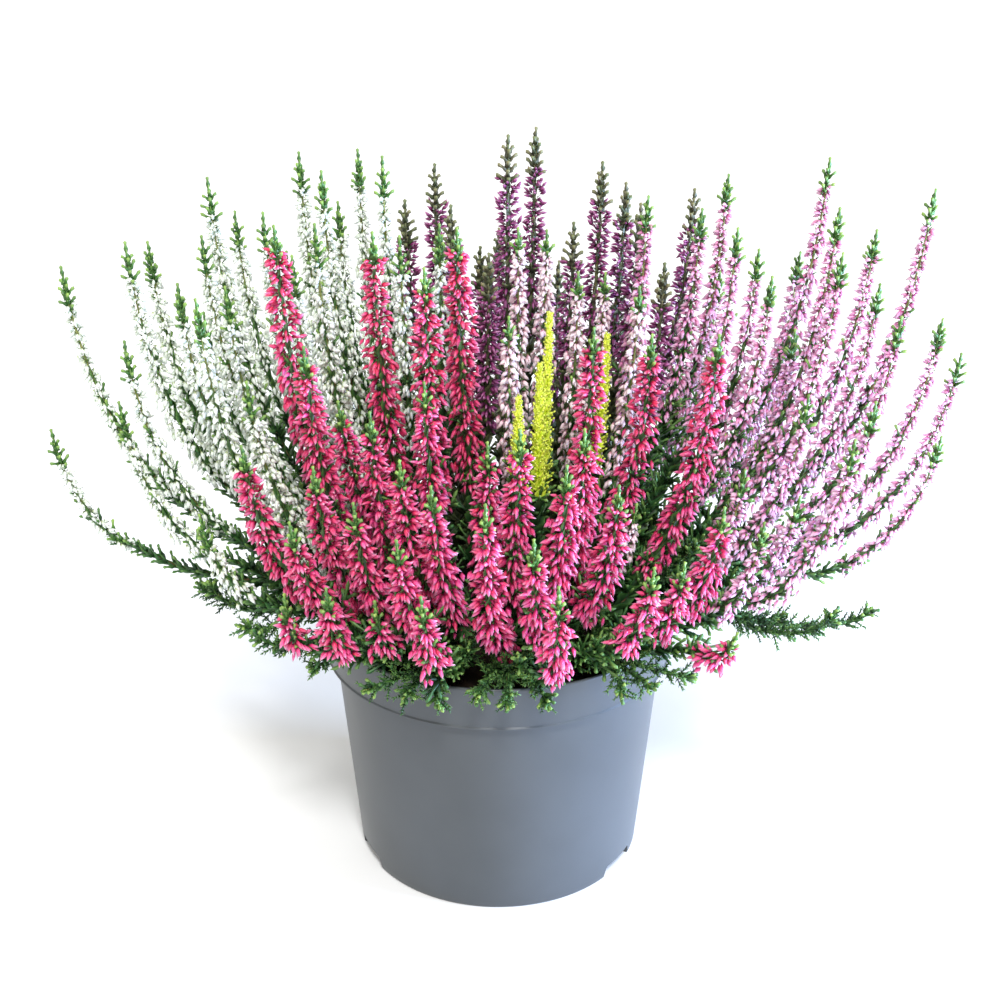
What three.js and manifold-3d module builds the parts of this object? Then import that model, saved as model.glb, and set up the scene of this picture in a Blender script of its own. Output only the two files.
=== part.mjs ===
// A potted heather: six colours of bud-flowering heather planted together in one plastic pot.
// Millimetres, +Z up. The origin is the centre of the pot's base, on the surface it stands on.
// -Y is the front, +X the right as seen from the front.
import * as THREE from 'three';
import { mergeVertices } from 'three/addons/utils/BufferGeometryUtils.js';
import Module from 'manifold-3d';

const wasm = await Module();
wasm.setup();

// ---- driving dimensions ----

const pot = {
  baseRadius: 78,
  shoulderRadius: 88.2,
  shoulderHeight: 117,
  bandLowRadius: 92.3,
  rimRadius: 95,
  height: 141,
  wall: 1.6,
  lip: 2.2,
  rounding: 1,
  sides: 40,
};

// Drainage slots are cut through the lower edge, one at the back and two at the front.
const slot = { height: 7, depth: 6, halfAngle: 10.7, lean: 4, overcut: 6, angles: [-65, 57, 176] };

// The soil's top is set down inside the rim and undulates by its rise over the given wavelengths.
const soil = { top: 129, rise: 2.2, waveX: 33, waveY: 27, clearance: 0.4, setBack: 8, sides: 20 };

const stem = {
  radius: 1.8,
  forkRadius: 0.8,
  leafRadius: 3.2,
  rootDepth: 16,
  crownHeight: 4,
  holeGap: 0.45,
  spacing: 30,
  gap: 2.4,
};

// Short leafy twigs fill the outside of the bush low down.
const twig = { station: 2, leastOut: 70, reach: 22, rise: 18, vary: 0.35, swing: 1.0 };

// How the shoots are bent clear of each other: a bead every few millimetres stands for a shoot's
// thickness, pairs within reach push each other apart, and every shoot evens its own bend out.
// A root stands within footReach of the middle, nearer to that the further out its tips are.
const bending = {
  beadStep: 9,
  lookAhead: 14,
  passes: 4,
  rounds: 60,
  strength: 0.4,
  longestMove: 2,
  pullHome: 0.004,
  evenOut: 0.08,
  footReach: 72,
  drawIn: 80,
  leafyDrawIn: 35,
  forkRise: 22,
  rimReach: 14,
  rimLift: 0.5,
};

// Where the two handles of a shoot's line stand: shares of the way out, and shares of the rise
// that fall as the shoot leans further.
const arch = {
  firstOut: 0.53,
  secondOut: 0.95,
  leastRise: 20,
  low: 0.35,
  lowByLean: 0.25,
  lowLeast: 0.05,
  high: 0.55,
  highByLean: 0.2,
  highLeast: 0.27,
  highMost: 0.52,
};

// Along a spike: where its leafy tip has its knob, share of the full radius at the top and at the
// lowest whorl, and the bare stem kept below it.
const spike = { knobAt: 0.45, topShare: 0.62, footShare: 0.72, below: 7, leastStem: 12 };

// What each kind of shoot looks like: radius over the buds, radius at its leafy tip, length of that
// tip, step between whorls, share of the spike over which it widens, and colour.
const kinds = {
  white: { budRadius: 7.6, tipRadius: 3.4, tipLength: 22, whorl: 12, widens: 0.55, colour: 0xeef0e0 },
  crimson: { budRadius: 9.6, tipRadius: 3.4, tipLength: 16, whorl: 11, widens: 0.2, colour: 0xd4326a },
  blush: { budRadius: 6.8, tipRadius: 3.0, tipLength: 14, whorl: 11, widens: 0.4, colour: 0xf0cfdc },
  purple: { budRadius: 6.2, tipRadius: 2.8, tipLength: 26, whorl: 10, widens: 0.4, colour: 0x7c2f6e },
  pink: { budRadius: 7.2, tipRadius: 3.0, tipLength: 18, whorl: 12, widens: 0.55, colour: 0xe6a6c8 },
  golden: { budRadius: 4.8, tipRadius: 3.2, tipLength: 12, whorl: 8, widens: 0.8, colour: 0xc9d22a },
  leafy: { budRadius: 4.2, tipRadius: 3.2, tipLength: 8, whorl: 11, widens: 0.45, colour: 0x2f5a33 },
};

// Every branch stands on one root and carries one to four shoots.
// A shoot is [tip x, tip y, tip z, length in bud], and the first one of a branch is its main stem.
// A fifth number is the fullness of a thin spike, against 1.
const branches = [
  ['white', [-225, -15, 245, 75, 0.55]],
  ['white', [-215, 0, 325, 130, 0.65], [-185, 10, 335, 130], [-180, 35, 330, 120]],
  ['white', [-185, -10, 290, 110, 0.75], [-185, -30, 265, 100, 0.8], [-145, -55, 215, 70]],
  ['white', [-135, 0, 315, 140], [-155, -15, 320, 130], [-140, -45, 320, 130], [-120, -45, 280, 110]],
  ['white', [-150, 25, 335, 150], [-150, 50, 360, 130], [-120, 35, 345, 140]],
  ['white', [-105, 70, 370, 150], [-140, 65, 340, 120], [-75, 80, 370, 120, 0.75]],
  ['white', [-90, 40, 365, 140], [-60, 55, 370, 130, 0.75], [-85, 65, 345, 110]],
  ['white', [-90, 5, 345, 130], [-105, 25, 325, 150]],
  ['white', [-50, 25, 335, 110], [-30, 30, 340, 90]],
  ['white', [-120, 105, 310, 110], [-165, 85, 280, 100], [-150, 110, 240, 90]],
  ['white', [-75, 125, 285, 100], [-95, 145, 225, 80]],
  ['crimson', [-105, -25, 350, 150], [-90, -55, 300, 130]],
  ['crimson', [-60, -15, 345, 140], [-80, -30, 265, 110]],
  ['crimson', [-35, -25, 330, 120], [-35, -45, 280, 120]],
  ['crimson', [-20, -5, 345, 130], [-5, -60, 255, 110]],
  ['crimson', [-120, -65, 255, 100], [-85, -80, 250, 90]],
  ['crimson', [-95, -100, 230, 80], [-95, -95, 195, 45], [-75, -115, 205, 50]],
  ['crimson', [-60, -60, 270, 120], [-65, -100, 240, 100]],
  ['crimson', [-45, -85, 255, 110], [-45, -120, 230, 70], [-55, -105, 195, 45]],
  ['crimson', [-30, -105, 250, 100], [-35, -130, 210, 60]],
  ['crimson', [10, -85, 270, 120], [-5, -125, 250, 120], [30, -105, 260, 100]],
  ['crimson', [15, -120, 230, 90], [25, -130, 215, 60]],
  ['crimson', [45, -40, 305, 130], [40, -70, 265, 100], [75, -15, 295, 110]],
  ['crimson', [55, -90, 245, 110], [70, -115, 215, 90]],
  ['crimson', [105, -35, 300, 130], [105, -80, 230, 100]],
  ['crimson', [85, -100, 210, 90], [110, -105, 175, 30]],
  ['purple', [-35, 95, 360, 80], [-50, 70, 345, 80], [-40, 125, 290, 80]],
  ['purple', [-25, 55, 345, 80], [-10, 70, 320, 80], [-5, 30, 325, 90]],
  ['purple', [20, 90, 380, 110], [5, 60, 380, 110], [0, 120, 320, 90]],
  ['purple', [55, 70, 365, 120], [40, 60, 335, 80], [35, 125, 300, 90]],
  ['purple', [105, 75, 350, 120], [70, 95, 350, 90], [80, 130, 280, 90]],
  ['purple', [75, 60, 345, 90], [85, 30, 320, 100]],
  ['purple', [15, 150, 235, 80], [-20, 150, 230, 70], [50, 150, 225, 70]],
  ['blush', [25, 40, 335, 110], [10, 20, 340, 120], [5, -20, 305, 90]],
  ['blush', [55, 30, 315, 110], [40, 10, 320, 110]],
  ['blush', [70, 0, 315, 110], [70, -40, 215, 90]],
  ['pink', [120, 60, 360, 140, 0.75], [105, 45, 345, 110], [75, 25, 355, 120]],
  ['pink', [120, 20, 340, 120], [135, 0, 320, 120], [135, 40, 325, 110]],
  ['pink', [170, 50, 370, 160], [165, 80, 315, 120], [195, 40, 335, 140]],
  ['pink', [170, 20, 350, 160], [155, 30, 285, 120], [190, 5, 315, 140]],
  ['pink', [215, 15, 360, 170, 0.85], [240, 20, 275, 130, 0.8]],
  ['pink', [165, -15, 335, 150], [195, -20, 305, 140], [150, -35, 270, 130]],
  ['pink', [220, -5, 300, 140, 0.9], [225, -10, 240, 110, 0.7], [180, -45, 270, 120]],
  ['pink', [165, -70, 260, 100], [145, -60, 225, 80]],
  ['pink', [120, -45, 235, 90], [125, -75, 220, 70]],
  ['pink', [125, 100, 300, 110], [170, 110, 255, 90], [110, 140, 235, 90]],
  ['golden', [25, -10, 305, 90], [20, -30, 285, 70], [10, -35, 270, 45]],
  ['golden', [55, 5, 290, 80]],
];

// Low leafy sprays that lie over the rim, each with short shoots side by side.
const sprays = [
  [[-150, -25, 165, 60], [-160, -5, 155, 60], [-130, -50, 150, 60]],
  [[-110, -65, 145, 45], [-90, -85, 142, 40], [-118, -75, 160, 45]],
  [[-45, -112, 138, 40], [-65, -105, 140, 40], [-25, -118, 138, 40]],
  [[5, -116, 134, 40], [25, -114, 134, 40], [-10, -112, 138, 35]],
  [[75, -100, 138, 40], [55, -110, 138, 40], [95, -90, 142, 40]],
  [[190, -40, 158, 70], [165, -65, 168, 55], [150, -25, 145, 60]],
  [[125, 65, 150, 60], [100, 90, 145, 50], [145, 25, 160, 60]],
  [[-35, 114, 142, 40], [-75, 100, 146, 45], [-8, 118, 138, 40]],
  [[-125, 50, 148, 55], [-140, 25, 150, 60], [-110, 75, 150, 50]],
];

// ---- solids ----

const degrees = Math.PI / 180;

function toManifold(geometry) {
  geometry.deleteAttribute('normal');
  geometry.deleteAttribute('uv');
  const merged = mergeVertices(geometry, 1e-4);
  const vertProperties = new Float32Array(merged.attributes.position.array);
  const triVerts = new Uint32Array(merged.index.array);
  return new wasm.Manifold(new wasm.Mesh({ numProp: 3, vertProperties, triVerts }));
}

function toGeometry(solid) {
  const mesh = solid.getMesh();
  const geometry = new THREE.BufferGeometry();
  geometry.setAttribute('position', new THREE.BufferAttribute(mesh.vertProperties, 3));
  geometry.setIndex(new THREE.BufferAttribute(mesh.triVerts, 1));
  geometry.computeVertexNormals();
  return geometry;
}

// A turned solid from [radius, z] points that run up the outside and back down the inside.
function turned(profile, sides) {
  const points = profile.map(([radius, z]) => new THREE.Vector2(radius, z));
  const geometry = new THREE.LatheGeometry(points, sides);
  geometry.rotateX(Math.PI / 2);
  return geometry;
}

function makePot() {
  const { wall, lip, rounding } = pot;
  const shoulder = pot.shoulderHeight;
  const profile = [
    [0, 0],
    [pot.baseRadius - rounding, 0],
    [pot.baseRadius, rounding],
    [pot.shoulderRadius, shoulder],
    [pot.bandLowRadius - rounding / 2, shoulder],
    [pot.bandLowRadius, shoulder + rounding],
    [pot.rimRadius, pot.height - rounding],
    [pot.rimRadius - lip / 2, pot.height],
    [pot.rimRadius - lip, pot.height - rounding],
    [pot.bandLowRadius - wall, shoulder + wall],
    [pot.shoulderRadius - wall, shoulder],
    [pot.baseRadius - wall, wall],
    [0, wall],
  ];
  let solid = toManifold(turned(profile, pot.sides));
  for (const angle of slot.angles) {
    solid = solid.subtract(slotCutter(angle));
  }
  return toGeometry(solid);
}

// A wedge with leaning ends that opens the lower edge of the wall, so that water drains out.
function slotCutter(angle) {
  const far = pot.baseRadius + slot.overcut;
  const near = pot.baseRadius - slot.depth;
  const reach = Math.tan(slot.halfAngle * degrees);
  const shape = new THREE.Shape();
  shape.moveTo(-far * reach, -pot.rounding);
  shape.lineTo(far * reach, -pot.rounding);
  shape.lineTo(far * reach - slot.lean, slot.height);
  shape.lineTo(-far * reach + slot.lean, slot.height);
  const geometry = new THREE.ExtrudeGeometry(shape, { depth: far - near, bevelEnabled: false });
  geometry.rotateX(Math.PI / 2);
  geometry.translate(0, -near, 0);
  geometry.rotateZ(angle * degrees);
  return toManifold(geometry);
}

function potInnerRadius(z) {
  const slope = (pot.shoulderRadius - pot.baseRadius) / pot.shoulderHeight;
  if (z > pot.shoulderHeight) return pot.shoulderRadius - pot.wall;
  return pot.baseRadius - pot.wall + slope * z;
}

function makeSoil(roots) {
  const bottom = pot.wall + soil.clearance;
  const gap = pot.wall / 4 + soil.clearance;
  const edge = soil.rise;
  const lower = potInnerRadius(soil.setBack) - gap;
  const upper = potInnerRadius(pot.shoulderHeight) - gap;
  const profile = [
    [0, bottom],
    [lower - soil.setBack, bottom],
    [lower, bottom + soil.setBack],
    [upper, pot.shoulderHeight],
    [upper, soil.top - edge],
    [upper * 0.75, soil.top],
    [upper / 2, soil.top],
    [upper / 4, soil.top],
    [0, soil.top],
  ];
  const geometry = turned(profile, soil.sides);
  const place = geometry.attributes.position;
  for (let i = 0; i < place.count; i += 1) {
    if (place.getZ(i) < soil.top - edge) continue;
    const phaseX = (place.getX(i) / soil.waveX) * 2 * Math.PI;
    const phaseY = (place.getY(i) / soil.waveY) * 2 * Math.PI;
    place.setZ(i, place.getZ(i) + soil.rise * Math.sin(phaseX + 1) * Math.cos(phaseY));
  }
  let solid = toManifold(geometry);
  for (const root of roots) {
    // Each hole has three sides that clear the round stem, and starts just below its foot.
    const radius = (stem.radius + stem.holeGap) * 2;
    const height = stem.rootDepth * 2;
    const hole = new THREE.CylinderGeometry(radius, radius, height, 3);
    hole.rotateX(Math.PI / 2);
    hole.translate(root.x, root.y, root.z - stem.holeGap + height / 2);
    solid = solid.subtract(toManifold(hole));
  }
  return toGeometry(solid);
}

// ---- where the shoots run ----

// A seeded draw between 0 and 1, the same in every run.
let seed = 7;
function random() {
  seed = (seed * 16807) % 2147483647;
  return seed / 2147483647;
}

// A branch's root lies under the middle of its tips, drawn in towards the middle of the pot.
function rootOf(shoots, kindName) {
  const middle = new THREE.Vector2();
  for (const [x, y] of shoots) middle.add(new THREE.Vector2(x, y));
  middle.divideScalar(shoots.length);
  return middle.setLength(rootDistance(middle.length(), kindName));
}

function rootDistance(out, kindName) {
  const drawIn = kindName === 'leafy' ? bending.leafyDrawIn : bending.drawIn;
  return bending.footReach * (1 - Math.exp(-out / drawIn));
}

// A shoot leans out of its start first and then turns upright, the more so the further it reaches.
function shootPath(start, tip) {
  const out = new THREE.Vector2(tip.x - start.x, tip.y - start.y);
  const rise = tip.z - start.z;
  const lean = out.length() / Math.max(rise, arch.leastRise);
  const low = Math.max(arch.low - arch.lowByLean * lean, arch.lowLeast);
  const high = THREE.MathUtils.clamp(arch.high - arch.highByLean * lean, arch.highLeast, arch.highMost);
  const handle = (share, up) => {
    return new THREE.Vector3(start.x + out.x * share, start.y + out.y * share, start.z + rise * up);
  };
  return new THREE.CubicBezierCurve3(start, handle(arch.firstOut, low), handle(arch.secondOut, high), tip);
}

// Radius and spacing of the stations along a shoot, counted back from its tip.
function stations(length, kind, bloomLength, fullness) {
  const list = [];
  const bloom = Math.min(bloomLength, length - spike.leastStem);
  list.push({ fromTip: kind.tipLength * spike.knobAt, radius: kind.tipRadius });
  let fromTip = kind.tipLength;
  const whorls = Math.max(2, Math.round((bloom - kind.tipLength) / kind.whorl));
  const step = (bloom - kind.tipLength) / whorls;
  for (let i = 0; i <= whorls; i += 1) {
    const taper = THREE.MathUtils.lerp(spike.topShare, 1, Math.min(1, i / whorls / kind.widens));
    const end = i === whorls ? spike.footShare : 1;
    list.push({ fromTip: fromTip + i * step, radius: kind.budRadius * fullness * taper * end });
  }
  fromTip = bloom + spike.below;
  const stretches = Math.max(1, Math.round((length - fromTip) / stem.spacing));
  for (let i = 0; i <= stretches; i += 1) {
    const radius = i === stretches ? stem.radius : stem.leafRadius;
    list.push({ fromTip: THREE.MathUtils.lerp(fromTip, length, i / stretches), radius });
  }
  return list.reverse();
}

function layShoot(start, shoot, kind) {
  const [x, y, z, bloomLength, fullness = 1] = shoot;
  const curve = shootPath(start, new THREE.Vector3(x, y, z));
  const length = curve.getLength();
  const points = [];
  const radii = [];
  for (const station of stations(length, kind, bloomLength, fullness)) {
    points.push(curve.getPointAt(Math.max(0, 1 - station.fromTip / length)));
    radii.push(station.radius);
  }
  const tip = new THREE.Vector3(x, y, z);
  points.push(tip);
  radii.push(0);
  return { points, radii, home: points.map((point) => point.clone()) };
}

// Beads along every shoot's line stand for its thickness while the shoots are bent clear.
function beadsOf(plant) {
  const beads = [];
  for (const branch of plant) {
    for (const shoot of branch.laid) {
      for (let i = 0; i < shoot.points.length - 1; i += 1) {
        const span = shoot.points[i].distanceTo(shoot.points[i + 1]);
        const count = Math.max(1, Math.round(span / bending.beadStep));
        for (let k = 0; k < count; k += 1) {
          const share = k / count;
          const radius = THREE.MathUtils.lerp(shoot.radii[i], shoot.radii[i + 1], share);
          beads.push({ branch, shoot, i, share, radius });
        }
      }
    }
  }
  return beads;
}

function beadPlace(bead, place) {
  return place.lerpVectors(bead.shoot.points[bead.i], bead.shoot.points[bead.i + 1], bead.share);
}

// Branches that would cross are pushed apart a little at a time, and each push is spread along
// its shoot so that the shoot stays one smooth line.
function bendClear(plant) {
  const beads = beadsOf(plant);
  const places = beads.map((bead) => beadPlace(bead, new THREE.Vector3()));
  const pairs = [];
  for (let a = 0; a < beads.length; a += 1) {
    for (let b = a + 1; b < beads.length; b += 1) {
      if (beads[a].shoot === beads[b].shoot) continue;
      const together = beads[a].branch === beads[b].branch;
      if (together && Math.min(places[a].z, places[b].z) < soil.top + bending.forkRise) continue;
      const reach = beads[a].radius + beads[b].radius + bending.lookAhead;
      if (places[a].distanceToSquared(places[b]) < reach * reach) pairs.push([a, b]);
    }
  }
  const push = new THREE.Vector3();
  for (let round = 0; round < bending.rounds; round += 1) {
    for (const { laid } of plant) {
      for (const shoot of laid) shoot.moves = shoot.points.map(() => new THREE.Vector3());
    }
    beads.forEach((bead, index) => beadPlace(bead, places[index]));
    for (const [a, b] of pairs) {
      push.subVectors(places[a], places[b]);
      const distance = Math.max(push.length(), 0.01);
      const short = beads[a].radius + beads[b].radius + stem.gap - distance;
      if (short <= 0) continue;
      push.multiplyScalar((bending.strength * short) / distance);
      moveBead(beads[a], push, 1);
      moveBead(beads[b], push, -1);
    }
    beads.forEach((bead, index) => {
      const out = Math.hypot(places[index].x, places[index].y) - pot.rimRadius;
      const low = pot.height + stem.gap + bead.radius - places[index].z;
      if (low > 0 && out > -bending.rimReach && out < bending.rimReach) {
        moveBead(bead, push.set(0, 0, low * bending.rimLift), 1);
      }
    });
    for (const { laid } of plant) {
      for (const shoot of laid) settleShoot(shoot);
      keepFoot(laid);
    }
  }
}

function moveBead(bead, push, sign) {
  bead.shoot.moves[bead.i].addScaledVector(push, sign * (1 - bead.share));
  bead.shoot.moves[bead.i + 1].addScaledVector(push, sign * bead.share);
}

function settleShoot(shoot) {
  const { points, moves, home } = shoot;
  points.forEach((point, i) => {
    const spread = moves[i].clone().lerp(neighboursMean(moves, i), 0.5);
    point.add(spread.clampLength(0, bending.longestMove));
    point.lerp(home[i], bending.pullHome);
  });
  const shifts = points.map((point, i) => new THREE.Vector3().subVectors(point, home[i]));
  points.forEach((point, i) => {
    point.addScaledVector(neighboursMean(shifts, i).sub(shifts[i]), bending.evenOut);
  });
}

function neighboursMean(vectors, i) {
  const before = vectors[Math.max(0, i - 1)];
  const after = vectors[Math.min(vectors.length - 1, i + 1)];
  return new THREE.Vector3().addVectors(before, after).multiplyScalar(0.5);
}

// The main stem goes straight down into the soil, and the others start from its crown.
function keepFoot(laid) {
  const [main, ...others] = laid;
  const crown = main.points[1];
  const inside = new THREE.Vector2(crown.x, crown.y).clampLength(0, bending.footReach);
  crown.set(inside.x, inside.y, main.home[1].z);
  main.points[0].set(inside.x, inside.y, main.home[0].z);
  for (const shoot of others) shoot.points[0].copy(main.points[shoot.from]);
}

// ---- one skin per shoot ----

// Three corners at each station, each ring turned by a sixth of a turn from the last, so that
// every corner over the stem's own radius stands out as a bud between two below and two above.
function skin(points, radii) {
  const corners = [];
  const faces = [];
  const last = points.length - 1;
  let side = new THREE.Vector3(1, 0, 0);
  corners.push(points[0]);
  for (let i = 0; i < last; i += 1) {
    const along = new THREE.Vector3().subVectors(points[i + 1], points[Math.max(0, i - 1)]).normalize();
    side = side.clone().addScaledVector(along, -side.dot(along)).normalize();
    const across = new THREE.Vector3().crossVectors(along, side);
    for (let k = 0; k < 3; k += 1) {
      const turn = (k + (i % 2) / 2) * 120 * degrees;
      const corner = points[i].clone();
      corner.addScaledVector(side, radii[i] * Math.cos(turn));
      corner.addScaledVector(across, radii[i] * Math.sin(turn));
      corners.push(corner);
    }
  }
  corners.push(points[last]);
  for (let k = 0; k < 3; k += 1) faces.push(0, 1 + ((k + 1) % 3), 1 + k);
  for (let i = 0; i < last - 1; i += 1) {
    const low = 1 + 3 * i;
    const high = low + 3;
    for (let k = 0; k < 3; k += 1) {
      const next = (k + 1) % 3;
      if (i % 2 === 0) {
        faces.push(low + k, low + next, high + k);
        faces.push(low + next, high + next, high + k);
      } else {
        faces.push(low + k, high + next, high + k);
        faces.push(low + k, low + next, high + next);
      }
    }
  }
  const top = corners.length - 1;
  for (let k = 0; k < 3; k += 1) faces.push(top - 3 + k, top - 3 + ((k + 1) % 3), top);
  const geometry = new THREE.BufferGeometry();
  geometry.setFromPoints(corners);
  geometry.setIndex(faces);
  return toManifold(geometry);
}

// ---- the plant ----

function layBranch(name, kindName, shoots) {
  const root = rootOf(shoots, kindName);
  const start = new THREE.Vector3(root.x, root.y, soil.top + stem.crownHeight);
  const kind = kinds[kindName];
  const laid = [];
  for (const shoot of shoots) {
    if (laid.length === 0) {
      const main = layShoot(start, shoot, kind);
      const foot = new THREE.Vector3(root.x, root.y, soil.top - stem.rootDepth);
      main.points.unshift(foot);
      main.radii.unshift(stem.radius);
      main.home.unshift(foot.clone());
      laid.push(main);
    } else {
      laid.push(layFork(laid[0], 1, shoot, kind));
    }
  }
  if (kindName !== 'leafy' && root.length() > rootDistance(twig.leastOut, kindName)) {
    laid.push(layTwig(laid[0]));
  }
  return { name, kindName, laid };
}

// A shoot that starts inside another one, at one of that one's stations.
function layFork(main, from, shoot, kind) {
  const side = layShoot(main.points[from].clone(), shoot, kind);
  side.radii[0] = stem.forkRadius;
  side.from = from;
  return side;
}

function layTwig(main) {
  const start = main.points[twig.station];
  const angle = Math.atan2(start.y, start.x) + (random() * 2 - 1) * twig.swing;
  const size = 1 + (random() * 2 - 1) * twig.vary;
  const x = start.x + Math.cos(angle) * twig.reach * size;
  const y = start.y + Math.sin(angle) * twig.reach * size;
  const z = start.z + twig.rise * size;
  return layFork(main, twig.station, [x, y, z, twig.reach * size], kinds.leafy);
}

const plant = [];
const counts = {};
for (const [kindName, ...shoots] of branches) {
  counts[kindName] = (counts[kindName] ?? 0) + 1;
  const number = String(counts[kindName]).padStart(2, '0');
  plant.push(layBranch(`${kindName}_branch_${number}`, kindName, shoots));
}
for (const [index, shoots] of sprays.entries()) {
  const number = String(index + 1).padStart(2, '0');
  plant.push(layBranch(`leafy_spray_${number}`, 'leafy', shoots));
}

for (let pass = 0; pass < bending.passes; pass += 1) bendClear(plant);

// ---- build ----

function makeMesh(name, geometry, colour, roughness) {
  const material = new THREE.MeshStandardMaterial({ color: colour, roughness, metalness: 0 });
  const mesh = new THREE.Mesh(geometry, material);
  mesh.name = name;
  return mesh;
}

const heather = new THREE.Group();
heather.add(makeMesh('pot', makePot(), 0x6f7982, 0.55));
heather.add(makeMesh('soil', makeSoil(plant.map((branch) => branch.laid[0].points[0])), 0x2b2019, 0.95));
for (const branch of plant) {
  let solid = null;
  for (const shoot of branch.laid) {
    const piece = skin(shoot.points, shoot.radii);
    solid = solid ? solid.add(piece) : piece;
  }
  heather.add(makeMesh(branch.name, toGeometry(solid), kinds[branch.kindName].colour, 0.7));
}

export default heather;
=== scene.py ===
import math

import bpy
import numpy as np
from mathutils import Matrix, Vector, noise


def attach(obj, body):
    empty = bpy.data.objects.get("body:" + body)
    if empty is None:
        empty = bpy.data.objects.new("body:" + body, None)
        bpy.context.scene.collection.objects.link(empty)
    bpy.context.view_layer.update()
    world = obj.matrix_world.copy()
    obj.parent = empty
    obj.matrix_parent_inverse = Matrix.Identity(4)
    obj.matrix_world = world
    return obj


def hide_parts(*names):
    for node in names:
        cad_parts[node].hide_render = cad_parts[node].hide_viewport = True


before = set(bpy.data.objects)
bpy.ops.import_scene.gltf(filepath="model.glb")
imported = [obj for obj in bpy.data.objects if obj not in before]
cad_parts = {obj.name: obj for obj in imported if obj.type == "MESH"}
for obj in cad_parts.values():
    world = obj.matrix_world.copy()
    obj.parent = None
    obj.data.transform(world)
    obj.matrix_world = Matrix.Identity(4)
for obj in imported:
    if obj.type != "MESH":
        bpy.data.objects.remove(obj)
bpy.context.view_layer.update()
mm = 0.001
tiny = 1e-9  # keeps a division from a zero length
middleTone = 0.5  # half way between a material's two colourings
barkSlot, leafSlot, colourSlot = range(3)  # a branch's materials, in order


# Settings in rows, each value under its column's name.
def table(columns, rows):
    names = columns.split(", ")
    return {name: dict(zip(names, values)) for name, values in rows.items()}


# The camera looks down on the plant from the front.
view = {"place": (0.0008, -0.680, 0.478), "down": 22.2, "lens": 50.4, "sensor": 36}

bpy.ops.object.camera_add(location=view["place"], rotation=(math.radians(90 - view["down"]), 0, 0))
camera = bpy.context.object
camera.name = "camera"
camera.data.lens = view["lens"]
camera.data.sensor_width = view["sensor"]
bpy.context.scene.camera = camera
print("camera set at", view["place"])

potShape = {
    "baseRadius": 78, "shoulderRadius": 88.2, "shoulderHeight": 117, "bandLowRadius": 92.3,
    "rimRadius": 95, "height": 141, "wall": 1.6, "segments": 128, "smoothAngle": 40,
}
soilShape = {"top": 129, "clearance": 0.4, "setBack": 8, "segments": 72, "rings": 14}
stemShape = {
    "radius": 1.8, "forkRadius": 0.8, "leafRadius": 3.2, "rootDepth": 16, "crown": 4, "spacing": 30,
    "gap": 2.4,
}
twigShape = {"leastOut": 70, "reach": 22, "rise": 18, "vary": 0.35, "swing": 1.0, "station": 2, "seed": 7}
# How hard the shoots are pushed apart and drawn back, and where they stand in the soil and over the rim.
bending = {
    "beadStep": 9, "lookAhead": 14, "passes": 4, "rounds": 60, "strength": 0.4, "longestMove": 2,
    "pullHome": 0.004, "evenOut": 0.08, "footReach": 72, "drawIn": 80, "leafyDrawIn": 35, "forkRise": 22,
    "rimReach": 14, "rimLift": 0.5, "leastApart": 0.01,
}

# Where the two handles of a shoot's line stand: shares of the way out, and of the rise by how it leans;
# and how many samples measure the line.
arch = {
    "firstOut": 0.53, "secondOut": 0.95, "leastRise": 20, "samples": 201,
    "low": 0.35, "lowByLean": 0.25, "lowLeast": 0.05,
    "high": 0.55, "highByLean": 0.2, "highLeast": 0.27, "highMost": 0.52,
}

# Along a spike: the knob of the leafy tip, radius at the top and at the lowest whorl, stem below.
spikeShape = {"knobAt": 0.45, "topShare": 0.62, "footShare": 0.72, "below": 7, "leastStem": 12}

# Radius over the buds, radius and length of the leafy tip, step between whorls, share of the spike over
# which it widens.
kinds = table("bud, tip, tipLength, whorl, widens", {
    "white": (7.6, 3.4, 22, 12, 0.55),
    "crimson": (9.6, 3.4, 16, 11, 0.2),
    "blush": (6.8, 3.0, 14, 11, 0.4),
    "purple": (6.2, 2.8, 26, 10, 0.4),
    "pink": (7.2, 3.0, 18, 12, 0.55),
    "golden": (4.8, 3.2, 12, 8, 0.8),
    "leafy": (4.2, 3.2, 8, 11, 0.45),
})

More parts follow.
